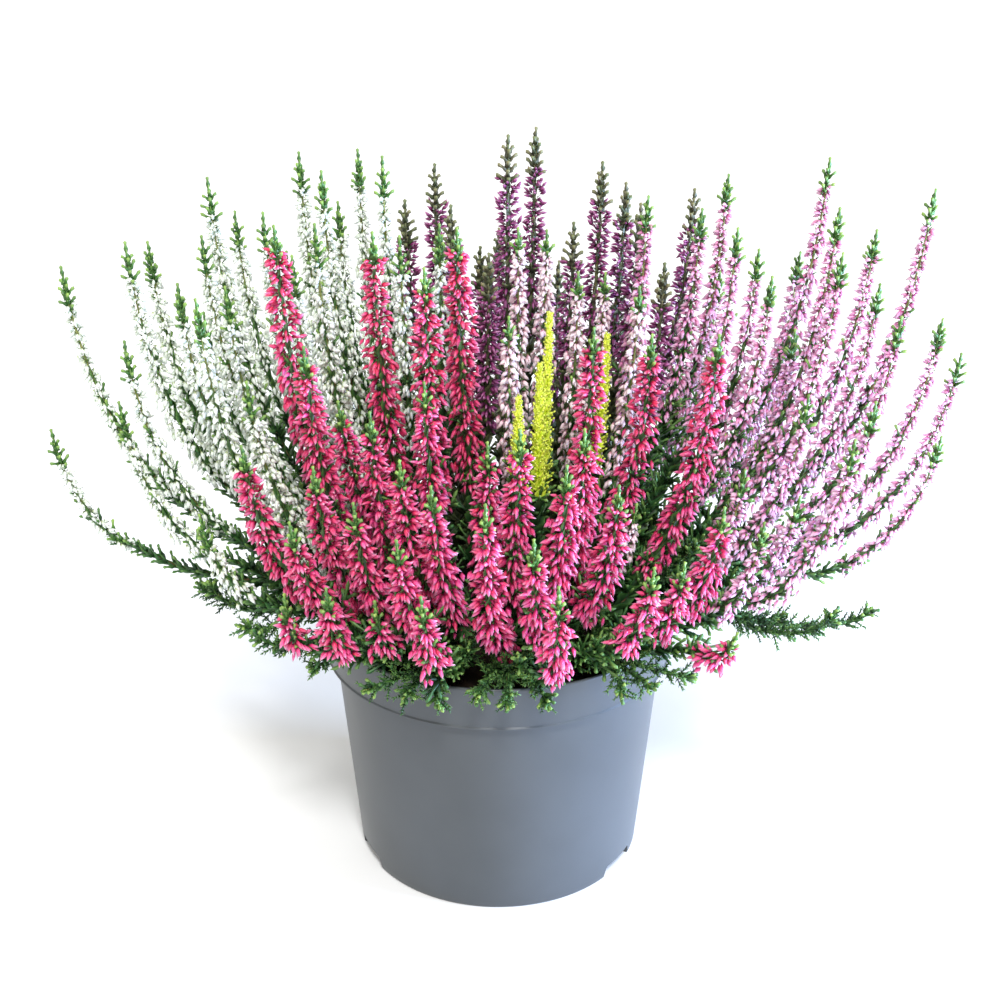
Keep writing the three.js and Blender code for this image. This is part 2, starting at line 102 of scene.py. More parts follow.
# For each kind its branches, and for each branch its shoots as (tip x, tip y, tip z, length in bud), the
# main stem first. A fifth number is the fullness of a thin spike.
branches = {
    "white": [
        [(-225, -15, 245, 75, 0.55)],
        [(-215, 0, 325, 130, 0.65), (-185, 10, 335, 130), (-180, 35, 330, 120)],
        [(-185, -10, 290, 110, 0.75), (-185, -30, 265, 100, 0.8), (-145, -55, 215, 70)],
        [(-135, 0, 315, 140), (-155, -15, 320, 130), (-140, -45, 320, 130), (-120, -45, 280, 110)],
        [(-150, 25, 335, 150), (-150, 50, 360, 130), (-120, 35, 345, 140)],
        [(-105, 70, 370, 150), (-140, 65, 340, 120), (-75, 80, 370, 120, 0.75)],
        [(-90, 40, 365, 140), (-60, 55, 370, 130, 0.75), (-85, 65, 345, 110)],
        [(-90, 5, 345, 130), (-105, 25, 325, 150)],
        [(-50, 25, 335, 110), (-30, 30, 340, 90)],
        [(-120, 105, 310, 110), (-165, 85, 280, 100), (-150, 110, 240, 90)],
        [(-75, 125, 285, 100), (-95, 145, 225, 80)],
    ],
    "crimson": [
        [(-105, -25, 350, 150), (-90, -55, 300, 130)],
        [(-60, -15, 345, 140), (-80, -30, 265, 110)],
        [(-35, -25, 330, 120), (-35, -45, 280, 120)],
        [(-20, -5, 345, 130), (-5, -60, 255, 110)],
        [(-120, -65, 255, 100), (-85, -80, 250, 90)],
        [(-95, -100, 230, 80), (-95, -95, 195, 45), (-75, -115, 205, 50)],
        [(-60, -60, 270, 120), (-65, -100, 240, 100)],
        [(-45, -85, 255, 110), (-45, -120, 230, 70), (-55, -105, 195, 45)],
        [(-30, -105, 250, 100), (-35, -130, 210, 60)],
        [(10, -85, 270, 120), (-5, -125, 250, 120), (30, -105, 260, 100)],
        [(15, -120, 230, 90), (25, -130, 215, 60)],
        [(45, -40, 305, 130), (40, -70, 265, 100), (75, -15, 295, 110)],
        [(55, -90, 245, 110), (70, -115, 215, 90)],
        [(105, -35, 300, 130), (105, -80, 230, 100)],
        [(85, -100, 210, 90), (110, -105, 175, 30)],
    ],
    "purple": [
        [(-35, 95, 360, 80), (-50, 70, 345, 80), (-40, 125, 290, 80)],
        [(-25, 55, 345, 80), (-10, 70, 320, 80), (-5, 30, 325, 90)],
        [(20, 90, 380, 110), (5, 60, 380, 110), (0, 120, 320, 90)],
        [(55, 70, 365, 120), (40, 60, 335, 80), (35, 125, 300, 90)],
        [(105, 75, 350, 120), (70, 95, 350, 90), (80, 130, 280, 90)],
        [(75, 60, 345, 90), (85, 30, 320, 100)],
        [(15, 150, 235, 80), (-20, 150, 230, 70), (50, 150, 225, 70)],
    ],
    "blush": [
        [(25, 40, 335, 110), (10, 20, 340, 120), (5, -20, 305, 90)],
        [(55, 30, 315, 110), (40, 10, 320, 110)],
        [(70, 0, 315, 110), (70, -40, 215, 90)],
    ],
    "pink": [
        [(120, 60, 360, 140, 0.75), (105, 45, 345, 110), (75, 25, 355, 120)],
        [(120, 20, 340, 120), (135, 0, 320, 120), (135, 40, 325, 110)],
        [(170, 50, 370, 160), (165, 80, 315, 120), (195, 40, 335, 140)],
        [(170, 20, 350, 160), (155, 30, 285, 120), (190, 5, 315, 140)],
        [(215, 15, 360, 170, 0.85), (240, 20, 275, 130, 0.8)],
        [(165, -15, 335, 150), (195, -20, 305, 140), (150, -35, 270, 130)],
        [(220, -5, 300, 140, 0.9), (225, -10, 240, 110, 0.7), (180, -45, 270, 120)],
        [(165, -70, 260, 100), (145, -60, 225, 80)],
        [(120, -45, 235, 90), (125, -75, 220, 70)],
        [(125, 100, 300, 110), (170, 110, 255, 90), (110, 140, 235, 90)],
    ],
    "golden": [
        [(25, -10, 305, 90), (20, -30, 285, 70), (10, -35, 270, 45)],
        [(55, 5, 290, 80)],
    ],
    "leafy": [
        [(-150, -25, 165, 60), (-160, -5, 155, 60), (-130, -50, 150, 60)],
        [(-110, -65, 145, 45), (-90, -85, 142, 40), (-118, -75, 160, 45)],
        [(-45, -112, 138, 40), (-65, -105, 140, 40), (-25, -118, 138, 40)],
        [(5, -116, 134, 40), (25, -114, 134, 40), (-10, -112, 138, 35)],
        [(75, -100, 138, 40), (55, -110, 138, 40), (95, -90, 142, 40)],
        [(190, -40, 158, 70), (165, -65, 168, 55), (150, -25, 145, 60)],
        [(125, 65, 150, 60), (100, 90, 145, 50), (145, 25, 160, 60)],
        [(-35, 114, 142, 40), (-75, 100, 146, 45), (-8, 118, 138, 40)],
        [(-125, 50, 148, 55), (-140, 25, 150, 60), (-110, 75, 150, 50)],
    ],
}


# Even draws between 0 and 1, the same as in the solids.
def drawsFrom(seed, multiplier=16807, modulus=2147483647):
    while True:
        seed = seed * multiplier % modulus
        yield seed / modulus


twigDraws = drawsFrom(twigShape["seed"])


def lengthOf(vector):
    return float(np.linalg.norm(vector))


def nearest(number):  # halves go up, as in the solids
    return math.floor(number + 0.5)


def rootDistance(out, kindName):
    drawIn = bending["leafyDrawIn"] if kindName == "leafy" else bending["drawIn"]
    return bending["footReach"] * (1 - math.exp(-out / drawIn))


def rootOf(shoots, kindName):
    middle = np.mean([shoot[:2] for shoot in shoots], axis=0)
    out = lengthOf(middle)
    return middle * (rootDistance(out, kindName) / out)


# A shoot leans out of its start first and then turns upright, the more so the further it reaches.
def shootCurve(start, tip):
    out = (tip - start) * (1, 1, 0)
    rise = tip[2] - start[2]
    lean = lengthOf(out) / max(rise, arch["leastRise"])
    low = max(arch["low"] - arch["lowByLean"] * lean, arch["lowLeast"])
    high = min(max(arch["high"] - arch["highByLean"] * lean, arch["highLeast"]), arch["highMost"])
    first = start + out * arch["firstOut"] + (0, 0, rise * low)
    second = start + out * arch["secondOut"] + (0, 0, rise * high)

    def at(t):
        t = np.asarray(t, float)[:, None]
        back = 1 - t
        return back**3 * start + 3 * back**2 * t * first + 3 * back * t**2 * second + t**3 * tip

    return at


# Distance from the tip and radius of each station, from the foot up, and the first and last one in bud.
def stationsOf(length, kind, bloomLength, fullness):
    bloom = min(bloomLength, length - spikeShape["leastStem"])
    tipLength = kind["tipLength"]
    rows = [(tipLength * spikeShape["knobAt"], kind["tip"])]
    whorls = max(2, nearest((bloom - tipLength) / kind["whorl"]))
    for i in range(whorls + 1):
        taper = 1 - (1 - spikeShape["topShare"]) * (1 - min(1, i / whorls / kind["widens"]))
        end = spikeShape["footShare"] if i == whorls else 1
        rows.append((tipLength + i * (bloom - tipLength) / whorls, kind["bud"] * fullness * taper * end))
    fromTip = bloom + spikeShape["below"]
    stretches = max(1, nearest((length - fromTip) / stemShape["spacing"]))
    for i in range(stretches + 1):
        radius = stemShape["radius"] if i == stretches else stemShape["leafRadius"]
        rows.append((fromTip + (length - fromTip) * i / stretches, radius))
    return rows[::-1], stretches + 1, stretches + 1 + whorls


def layShoot(start, shoot, kindName):
    tip = np.array(shoot[:3], float)
    curve = shootCurve(start, tip)
    steps = np.linspace(0, 1, arch["samples"])
    far = np.r_[0, np.cumsum(np.linalg.norm(np.diff(curve(steps), axis=0), axis=1))]
    fullness = shoot[4] if len(shoot) > 4 else 1
    rows, lowBud, highBud = stationsOf(far[-1], kinds[kindName], shoot[3], fullness)
    at = [max(0, far[-1] - fromTip) for fromTip, radius in rows]
    points = np.vstack([curve(np.interp(at, far, steps)), tip])
    radii = np.array([radius for fromTip, radius in rows] + [0.0])
    return {
        "kind": kindName, "points": points, "radii": radii, "home": points.copy(), "start": None,
        "lowBud": lowBud, "highBud": highBud, "fullness": fullness,
    }


def layFork(main, station, shoot, kindName):
    side = layShoot(main["points"][station].copy(), shoot, kindName)
    side["radii"][0] = stemShape["forkRadius"]
    side["start"] = station
    return side


def layTwig(main):
    station = twigShape["station"]
    start = main["points"][station]
    angle = math.atan2(start[1], start[0]) + (next(twigDraws) * 2 - 1) * twigShape["swing"]
    size = 1 + (next(twigDraws) * 2 - 1) * twigShape["vary"]
    reach = twigShape["reach"] * size
    tip = (start[0] + math.cos(angle) * reach, start[1] + math.sin(angle) * reach)
    return layFork(main, station, (*tip, start[2] + twigShape["rise"] * size, reach), "leafy")


def layBranch(name, kindName, shoots):
    root = rootOf(shoots, kindName)
    main = layShoot(np.array([*root, soilShape["top"] + stemShape["crown"]], float), shoots[0], kindName)
    foot = np.array([*root, soilShape["top"] - stemShape["rootDepth"]], float)
    main["points"] = np.vstack([foot, main["points"]])
    main["home"] = main["points"].copy()
    main["radii"] = np.r_[stemShape["radius"], main["radii"]]
    main["lowBud"] += 1
    main["highBud"] += 1
    laid = [main] + [layFork(main, 1, shoot, kindName) for shoot in shoots[1:]]
    if kindName != "leafy" and lengthOf(root) > rootDistance(twigShape["leastOut"], kindName):
        laid.append(layTwig(main))
    return {"name": name, "kind": kindName, "laid": laid}


def layPlant():
    plant = []
    for kindName, group in branches.items():
        first = "leafy_spray" if kindName == "leafy" else f"{kindName}_branch"
        for number, shoots in enumerate(group, 1):
            plant.append(layBranch(f"{first}_{number:02d}", kindName, shoots))
    return plant


# Beads along every shoot's line stand for its thickness while the shoots are bent clear.
def beadsOf(plant, firstPoint):
    rows = []
    number = 0
    for branchNumber, branch in enumerate(plant):
        for shoot in branch["laid"]:
            points = shoot["points"]
            radii = shoot["radii"]
            for i in range(len(points) - 1):
                count = max(1, nearest(lengthOf(points[i + 1] - points[i]) / bending["beadStep"]))
                for k in range(count):
                    radius = radii[i] + (radii[i + 1] - radii[i]) * k / count
                    rows.append((firstPoint[number] + i, k / count, radius, number, branchNumber))
            number += 1
    rows = np.array(rows)
    return {
        "point": rows[:, 0].astype(int), "share": rows[:, 1:2], "radius": rows[:, 2],
        "shoot": rows[:, 3], "branch": rows[:, 4],
    }


def closePairs(beads, places):
    pairs = []
    forkTop = soilShape["top"] + bending["forkRise"]
    for a in range(len(places) - 1):
        far = np.linalg.norm(places[a + 1:] - places[a], axis=1)
        near = far < beads["radius"][a] + beads["radius"][a + 1:] + bending["lookAhead"]
        near &= beads["shoot"][a + 1:] != beads["shoot"][a]
        low = np.minimum(places[a + 1:, 2], places[a, 2]) < forkTop
        near &= ~(low & (beads["branch"][a + 1:] == beads["branch"][a]))
        found = np.nonzero(near)[0] + a + 1
        pairs.append(np.column_stack([np.full(len(found), a), found]))
    return np.vstack(pairs)


# Adds up the moves that fall to each index.
def summed(index, moves, count):
    return np.column_stack([np.bincount(index, moves[:, k], count) for k in range(3)])


# Branches that would cross are pushed apart a little at a time, spread along each shoot.
def bendClear(plant):
    shoots = [shoot for branch in plant for shoot in branch["laid"]]
    sizes = [len(shoot["points"]) for shoot in shoots]
    firstPoint = np.cumsum([0] + sizes)
    points = np.vstack([shoot["points"] for shoot in shoots])
    home = np.vstack([shoot["home"] for shoot in shoots])
    index = np.arange(len(points))
    before = np.maximum(index - 1, np.repeat(firstPoint[:-1], sizes))
    after = np.minimum(index + 1, np.repeat(firstPoint[1:] - 1, sizes))
    beads = beadsOf(plant, firstPoint)
    at, share, radius = beads["point"], beads["share"], beads["radius"]

    def beadPlaces():
        return points[at] * (1 - share) + points[at + 1] * share

    one, other = closePairs(beads, beadPlaces()).T
    apart = radius[one] + radius[other] + stemShape["gap"]
    for turn in range(bending["rounds"]):
        places = beadPlaces()
        push = places[one] - places[other]
        far = np.maximum(np.linalg.norm(push, axis=1), bending["leastApart"])
        push *= (bending["strength"] * np.maximum(apart - far, 0) / far)[:, None]
        beadMoves = summed(one, push, len(at)) - summed(other, push, len(at))
        out = np.hypot(places[:, 0], places[:, 1]) - potShape["rimRadius"]
        low = potShape["height"] + stemShape["gap"] + radius - places[:, 2]
        onRim = (low > 0) & (np.abs(out) < bending["rimReach"])
        beadMoves[:, 2] += np.where(onRim, low * bending["rimLift"], 0)
        moves = summed(at, beadMoves * (1 - share), len(points))
        moves += summed(at + 1, beadMoves * share, len(points))
        spread = moves * 0.5 + moves[before] * 0.25 + moves[after] * 0.25
        size = np.linalg.norm(spread, axis=1, keepdims=True)
        points += spread * np.minimum(1, bending["longestMove"] / np.maximum(size, tiny))
        points += (home - points) * bending["pullHome"]
        shift = points - home
        points += ((shift[before] + shift[after]) / 2 - shift) * bending["evenOut"]
        keepFeet(plant, points, home, firstPoint)
    for number, shoot in enumerate(shoots):
        shoot["points"] = points[firstPoint[number]:firstPoint[number + 1]].copy()


# A main stem goes straight down into the soil, and its side shoots start from its crown.
def keepFeet(plant, points, home, firstPoint):
    number = 0
    for branch in plant:
        foot = firstPoint[number]
        crown = points[foot + 1]
        out = max(math.hypot(crown[0], crown[1]), tiny)
        inside = crown[:2] * min(1, bending["footReach"] / out)
        points[foot + 1] = (*inside, home[foot + 1][2])
        points[foot] = (*inside, home[foot][2])
        for k, shoot in enumerate(branch["laid"]):
            if k > 0:
                points[firstPoint[number + k]] = points[foot + shoot["start"]]
        number += len(branch["laid"])


plant = layPlant()
for turn in range(bending["passes"]):
    bendClear(plant)
print("shoots laid:", sum(len(branch["laid"]) for branch in plant))


def addShape(add, **settings):
    bpy.ops.object.select_all(action="DESELECT")
    add(**settings)
    return bpy.context.object


def startEdit():
    bpy.ops.object.mode_set(mode="EDIT")
    bpy.ops.mesh.select_all(action="SELECT")


def endEdit():
    bpy.ops.object.mode_set(mode="OBJECT")


# Selects these vertices alone and leaves the object in edit mode.
def pickVertices(made, indices):
    bpy.ops.mesh.select_all(action="DESELECT")
    endEdit()
    made.data.vertices.foreach_set("select", np.isin(np.arange(len(made.data.vertices)), indices))
    bpy.ops.object.mode_set(mode="EDIT")


# A closed shape along Z from (height, radius, turn) rings between a low and a high pole.
def turnedShape(sides, rings, topHeight, lean=(0, 0)):
    made = addShape(bpy.ops.mesh.primitive_uv_sphere_add, segments=sides, ring_count=len(rings) + 1, radius=1)
    heights = np.array([round(vertex.co.z, 4) for vertex in made.data.vertices])
    bpy.ops.object.mode_set(mode="EDIT")
    bpy.ops.mesh.select_mode(type="VERT")
    for level, (height, radius, turn) in zip(np.unique(heights), [(0, 0, 0), *rings, (topHeight, 0, 0)]):
        pickVertices(made, np.nonzero(heights == level)[0])
        scale = radius / math.sqrt(max(1 - level * level, tiny))
        bpy.ops.transform.resize(value=(scale, scale, 1), center_override=(0, 0, 0))
        bpy.ops.transform.rotate(value=math.radians(turn), orient_axis="Z", center_override=(0, 0, 0))
        share = height / topHeight
        bend = (lean[0] * share * share, lean[1] * share * share)
        bpy.ops.transform.translate(value=(*bend, height - level))
    endEdit()
    return takeShape(made)


# The points and triangles of a finished small shape; the object itself is not needed any more.
def takeShape(made):
    mesh = made.data
    mesh.calc_loop_triangles()
    points = np.empty(len(mesh.vertices) * 3)
    mesh.vertices.foreach_get("co", points)
    points = points.reshape(-1, 3)
    faces = np.empty(len(mesh.loop_triangles) * 3, int)
    mesh.loop_triangles.foreach_get("vertices", faces)
    bpy.data.objects.remove(made)
    return {
        "points": points, "faces": faces.reshape(-1, 3),
        "along": points[:, 2] / points[:, 2].max(), "tone": np.full(len(points), middleTone),
    }


def unit(vectors):
    return vectors / np.maximum(np.linalg.norm(vectors, axis=-1, keepdims=True), tiny)


# Directions at an angle in radians from one way towards another.
def leaning(out, up, pitch):
    return out * np.cos(pitch)[:, None] + up * np.sin(pitch)[:, None]


def between(ends, share):
    return ends[0] + (ends[1] - ends[0]) * share


# Copies of a shape: each stands at its place along its axis, with its underside turned towards under.
def copiesOf(shape, places, axes, under, lengths, widths, tones):
    count = len(places)
    lengths, widths, tones = [np.broadcast_to(row, count)[:, None] for row in (lengths, widths, tones)]
    axisZ = unit(np.asarray(axes, float))
    axisY = -unit(under - np.sum(under * axisZ, axis=1, keepdims=True) * axisZ)
    axisX = np.cross(axisY, axisZ)
    x, y, z = shape["points"].T
    points = places[:, None, :]
    for size, axis in ((widths * x, axisX), (widths * y, axisY), (lengths * z, axisZ)):
        points = points + size[:, :, None] * axis[:, None, :]
    faces = shape["faces"][None] + (np.arange(count) * len(x))[:, None, None]
    return {
        "points": points.reshape(-1, 3), "faces": faces.reshape(-1, 3),
        "along": np.tile(shape["along"], count),
        "tone": np.clip(tones + (shape["tone"] - middleTone), 0, 1).ravel(),
    }


def joinShapes(parts):
    offset = np.cumsum([0] + [len(part["points"]) for part in parts])
    whole = {key: np.concatenate([part[key] for part in parts]) for key in ("points", "along", "tone")}
    return {**whole, "faces": np.vstack([part["faces"] + offset[k] for k, part in enumerate(parts)])}


budShape = {
    "widestAt": 0.42, "shoulderAt": 0.76, "shoulder": 0.6, "droop": -0.35, "sides": 4, "innerSides": 3,
}
# Where the first knot of a scale shoot stands and the room over the last, in knots.
knotPlaces = {"first": 0.8, "over": 0.3}
scaleShootShape = {"sides": 3, "bulge": 1.2, "pinch": 0.62, "knots": 4, "thin": 0.25}
shortShootShape = {"sides": 3, "bulge": 1.2, "pinch": 0.66, "knots": 3, "thin": 0.2}
goldenShootShape = {"sides": 3, "bulge": 1.2, "pinch": 0.6, "knots": 5, "thin": 0.35}
frondShape = {
    "pairs": 2, "first": 0.16, "spacing": 0.26, "stagger": 0.3, "length": 0.5, "shorter": 0.25,
    "width": 0.062, "pitch": 46, "lift": 0.3, "tone": 0.4, "lighter": 0.1, "leaderTone": 0.5,
}
sprigShape = {
    "pairs": 6, "first": 0.1, "reach": 0.84, "turn": 1.35, "length": 0.27, "shorter": 0.35, "width": 0.062,
    "stem": 0.05, "inside": 0.4, "pitch": (34, 64), "tone": 0.5, "lighter": 0.4, "stemTone": 0.4,
}
leafShape = {"flat": 0.7, "bend": 0.5}
crumbShape = {"rough": 0.2, "seed": 3}


# A closed bud: slim stalk and calyx below, widest before the middle, drawn to a point that droops.
def modelBud(sides):
    rings = [(budShape["widestAt"], 1, 0), (budShape["shoulderAt"], budShape["shoulder"], 0)]
    return turnedShape(sides, rings, 1, (0, budShape["droop"]))


# A shoot clothed in scale leaves: each knot bulges out between two of the knot below.
def modelScaleShoot(look):
    knots = look["knots"]
    rings = []
    for k in range(knots):
        radius = look["pinch"] if (knots - k) % 2 == 0 else look["bulge"]
        taper = 1 - look["thin"] * (k / (knots - 1)) ** 2
        height = (k + knotPlaces["first"]) / (knots + knotPlaces["over"])
        rings.append((height, radius * taper, 180 / look["sides"] * (k // 2 % 2)))
    return turnedShape(look["sides"], rings, 1)


# Places in pairs up a stem: the level of each, its share of the way up, and its turn.
def inPairs(pairs, step):
    level = np.repeat(np.arange(pairs), 2)
    return level, level / pairs, np.tile([0, math.pi], pairs) + level * step


# A leader or a stem with what grows from its sides.
def onLeader(leader, under, width, tone, sides):
    up = np.array([[0.0, 0, 1]])
    return joinShapes([copiesOf(leader, 0 * up, up, under, 1, width, tone), sides])


# A flat spray: a leader with side shoots in pairs.
def modelFrond(leader, shoot):
    look = frondShape
    level = np.repeat(np.arange(look["pairs"]), 2)
    count = len(level)
    side = np.tile([1.0, -1.0], look["pairs"])
    pitch = math.radians(look["pitch"])
    tilt = look["lift"] * np.where(level % 2, 1, -1)
    axes = np.column_stack([side * math.cos(pitch), tilt, np.full(count, math.sin(pitch))])
    heights = look["first"] + look["spacing"] * (level + look["stagger"] * (side > 0))
    places = np.column_stack([np.zeros((count, 2)), heights])
    lengths = look["length"] * (1 - look["shorter"] * level)
    under = np.tile([0.0, -1.0, 0.1], (count, 1))
    tones = look["tone"] + look["lighter"] * (level % 2)
    sides = copiesOf(shoot, places, axes, under, lengths, look["width"], tones)
    return onLeader(leader, under[:1], look["width"], look["leaderTone"], sides)


# A three-sided leaf with its foot on the stem and its tip bent up.
def modelLeaf():
    size = {"vertices": 3, "radius1": 1, "radius2": 0, "depth": 1}
    made = addShape(bpy.ops.mesh.primitive_cone_add, end_fill_type="NGON", **size)
    startEdit()
    bpy.ops.transform.translate(value=(0, 0, 0.5))
    bpy.ops.transform.resize(value=(1, leafShape["flat"], 1), center_override=(0, 0, 0))
    endEdit()
    heights = [vertex.co.z for vertex in made.data.vertices]
    bpy.ops.object.mode_set(mode="EDIT")
    pickVertices(made, [heights.index(max(heights))])
    bpy.ops.transform.translate(value=(0, leafShape["bend"], 0))
    endEdit()
    return takeShape(made)


# A leafy sprig: small leaves in crossed pairs on a thin stem, lighter towards its tip.
def modelSprig(stem, leaf):
    look = sprigShape
    share, turn = inPairs(look["pairs"], look["turn"])[1:]
    out = np.column_stack([np.cos(turn), np.sin(turn), np.zeros(len(turn))])
    axes = leaning(out, np.array([[0.0, 0, 1]]), np.radians(between(look["pitch"], share)))
    places = out * look["stem"] * look["inside"]
    places[:, 2] = look["first"] + look["reach"] * share
    lengths = look["length"] * (1 - look["shorter"] * share)
    tones = look["tone"] + look["lighter"] * (share - 0.5)
    around = copiesOf(leaf, places, axes, -out, lengths, look["width"], tones)
    return onLeader(stem, np.array([[1.0, 0, 0]]), look["stem"], look["stemTone"], around)


def modelCrumb():
    made = addShape(bpy.ops.mesh.primitive_ico_sphere_add, subdivisions=1, radius=1)
    startEdit()
    bpy.ops.transform.vertex_random(offset=crumbShape["rough"], seed=crumbShape["seed"])
    bpy.ops.transform.translate(value=(0, 0, 1))
    endEdit()
    return takeShape(made)


# Small shapes are modelled once and copied.
bud = modelBud(budShape["sides"])
innerBud = modelBud(budShape["innerSides"])
scaleShoot = modelScaleShoot(scaleShootShape)
goldenShoot = modelScaleShoot(goldenShootShape)
shortShoot = modelScaleShoot(shortShootShape)
frond = modelFrond(scaleShoot, shortShoot)
scaleLeaf = modelLeaf()
sprig = modelSprig(innerBud, scaleLeaf)
crumb = modelCrumb()
counts = [len(shape["faces"]) for shape in (bud, scaleShoot, frond, sprig)]
print("triangles in a bud, a scale shoot, a frond and a sprig:", *counts)


def linear(hexColour):
    parts = [int(hexColour[i:i + 2], 16) / 255 for i in (1, 3, 5)]
    return (*[c / 12.92 if c <= 0.04045 else ((c + 0.055) / 1.055) ** 2.4 for c in parts], 1)


# Adds a node with its settings; a tuple (node, "output") as a value becomes a link.
def addNode(material, kind, settings=None, **inputs):
    tree = material.node_tree
    node = tree.nodes.new(kind)
    for name, value in (settings or {}).items():
        setattr(node, name, value)
    for name, value in inputs.items():
        key = int(name[1:]) if name[0] == "_" else name.replace("_", " ")
        if isinstance(value, tuple) and len(value) == 2 and not isinstance(value[0], (int, float)):
            tree.links.new(value[0].outputs[value[1]], node.inputs[key])
        else:
            node.inputs[key].default_value = value
    return node


def newMaterial(name, roughness, **constants):
    material = bpy.data.materials.new(name)
    material.use_nodes = True
    shader = material.node_tree.nodes["Principled BSDF"]
    shader.inputs["Roughness"].default_value = roughness
    for key, value in constants.items():
        shader.inputs[key.replace("_", " ")].default_value = value
    return material, shader


def rampNode(material, source, stops):
    node = addNode(material, "ShaderNodeValToRGB", _0=source)
    ramp = node.color_ramp
    while len(ramp.elements) < len(stops):
        ramp.elements.new(0.5)
    for element, (place, colour) in zip(ramp.elements, stops):
        element.position = place
        element.color = linear(colour)
    return node


# Links the outputs of nodes to inputs of the shader.
def feed(material, shader, **sources):
    for name, (node, output) in sources.items():
        material.node_tree.links.new(node.outputs[output], shader.inputs[name.replace("_", " ")])


# Two colourings run from the stalk to the tip, and each bud or leaf draws its own mix of the two.
def plantMaterial(name, look, roughness):
    material, shader = newMaterial(name, roughness)
    along = addNode(material, "ShaderNodeAttribute", {"attribute_name": "along"})
    tone = addNode(material, "ShaderNodeAttribute", {"attribute_name": "tone"})
    one, other = [rampNode(material, (along, "Fac"), stops) for stops in look]
    mixed = addNode(
        material, "ShaderNodeMix", {"data_type": "RGBA"},
        _0=(tone, "Fac"), _6=(one, "Color"), _7=(other, "Color"),
    )
    feed(material, shader, Base_Color=(mixed, 2))
    return material


plantRoughness = {"sepals": 0.36, "leaves": 0.45, "bark": 0.75}

# Dry papery sepals with a satin face, so each bud has a soft light side.
budLooks = {
    "white": (
        [(0.0, "#84933f"), (0.12, "#bcca88"), (0.27, "#e9f3e2"), (1.0, "#f7fdf5")],
        [(0.0, "#909648"), (0.15, "#ccd6a4"), (0.33, "#f0f8ee"), (1.0, "#fbfffc")],
    ),
    "crimson": (
        [(0.0, "#40101c"), (0.16, "#961638"), (0.42, "#d62450"), (0.78, "#ea5078"), (1.0, "#f4aabe")],
        [(0.0, "#521632"), (0.16, "#b0205c"), (0.42, "#e64488"), (0.78, "#f286b6"), (1.0, "#fadeec")],
    ),
    "blush": (
        [(0.0, "#66482e"), (0.15, "#c47690"), (0.34, "#f4d2dd"), (1.0, "#fdeef2")],
        [(0.0, "#5a5634"), (0.15, "#cc8e9c"), (0.34, "#fae4e9"), (1.0, "#fff9fb")],
    ),
    "purple": (
        [(0.0, "#3e2230"), (0.25, "#68224f"), (0.6, "#8e3a72"), (1.0, "#bd74a6")],
        [(0.0, "#4a3040"), (0.25, "#83366a"), (0.6, "#b8649e"), (1.0, "#e4b8d6")],
    ),
    "pink": (
        [(0.0, "#6a5032"), (0.2, "#bc5484"), (0.42, "#e68abc"), (0.8, "#f4bfde"), (1.0, "#fbe6f2")],
        [(0.0, "#76643e"), (0.2, "#cc789e"), (0.42, "#f1bedc"), (1.0, "#fdeff8")],
    ),
}
leafLooks = {
    "green": (
        [(0.0, "#12240f"), (0.5, "#214624"), (1.0, "#43793a")],
        [(0.0, "#31602a"), (0.5, "#5c903e"), (1.0, "#b0d068")],
    ),
    "golden": (
        [(0.0, "#84a42e"), (0.4, "#b0cc36"), (1.0, "#d4e848")],
        [(0.0, "#d2e634"), (0.35, "#ecfb3a"), (1.0, "#f8ff76")],
    ),
    "olive": (
        [(0.0, "#2a3a20"), (0.5, "#4b5a38"), (1.0, "#707e4e")],
        [(0.0, "#46423a"), (0.5, "#6c654e"), (1.0, "#989066")],
    ),
}
barkLook = (
    [(0.0, "#3d2c1e"), (0.6, "#64502e"), (1.0, "#80904a")],
    [(0.0, "#523c28"), (0.6, "#7e683e"), (1.0, "#98a854")],
)


def makePlantMaterials():
    made = {}
    # satin sepals: a soft highlight along each bud, no metal
    for kindName, look in budLooks.items():
        made[kindName] = plantMaterial(f"{kindName} heather sepals", look, plantRoughness["sepals"])
    # waxy scale leaves: small bright glints on each leaf
    for leafName, look in leafLooks.items():
        made[leafName] = plantMaterial(f"{leafName} scale leaves", look, plantRoughness["leaves"])
    # thin woody bark: matt, greener towards the tip
    made["bark"] = plantMaterial("heather bark", barkLook, plantRoughness["bark"])
    print("plant materials:", len(made))
    return made


# The smooth line's step, the woody stem's sides, step and radii from the tip down to its thick part, the
# golden angle between neighbours round a stem, where leaves begin above a root and above a fork, and
# the seed of the first branch.
growth = {
    "railStep": 1.5, "stemSides": 4, "stemStep": 6, "thinnest": 0.4, "thickest": 1.5, "thickAt": 220,
    "sideShare": 0.8, "vary": (0.9, 1.12), "topGap": 0.6, "footGap": 0.3,
    "goldenAngle": 137.5, "foot": 24, "forkFoot": 6, "firstSeed": 1000,
}

# Buds for each millimetre of spike, length and half width of a bud, its pitch at the foot and the top of
# the spike, how far a bud varies from that, the least radius of the spike as a share of its greatest, the
# height over the ground at which the buds start, and how far out they stand.
spikes = table("perMm, length, halfWidth, pitch, vary, blunt, above, reach", {
    "white": (2.35, 5.5, 1.22, (-60, -26), 16, 0.35, 172, 1),
    "crimson": (3.0, 6.7, 1.17, (-46, 0), 21, 0.74, 173, 1),
    "blush": (2.3, 5.8, 1.27, (-60, -26), 15, 0.35, 180, 1),
    "purple": (3.15, 6.0, 1.0, (-25, 30), 20, 0.88, 180, 1.3),
    "pink": (2.35, 5.6, 1.15, (-56, 0), 18, 0.35, 168, 1),
})
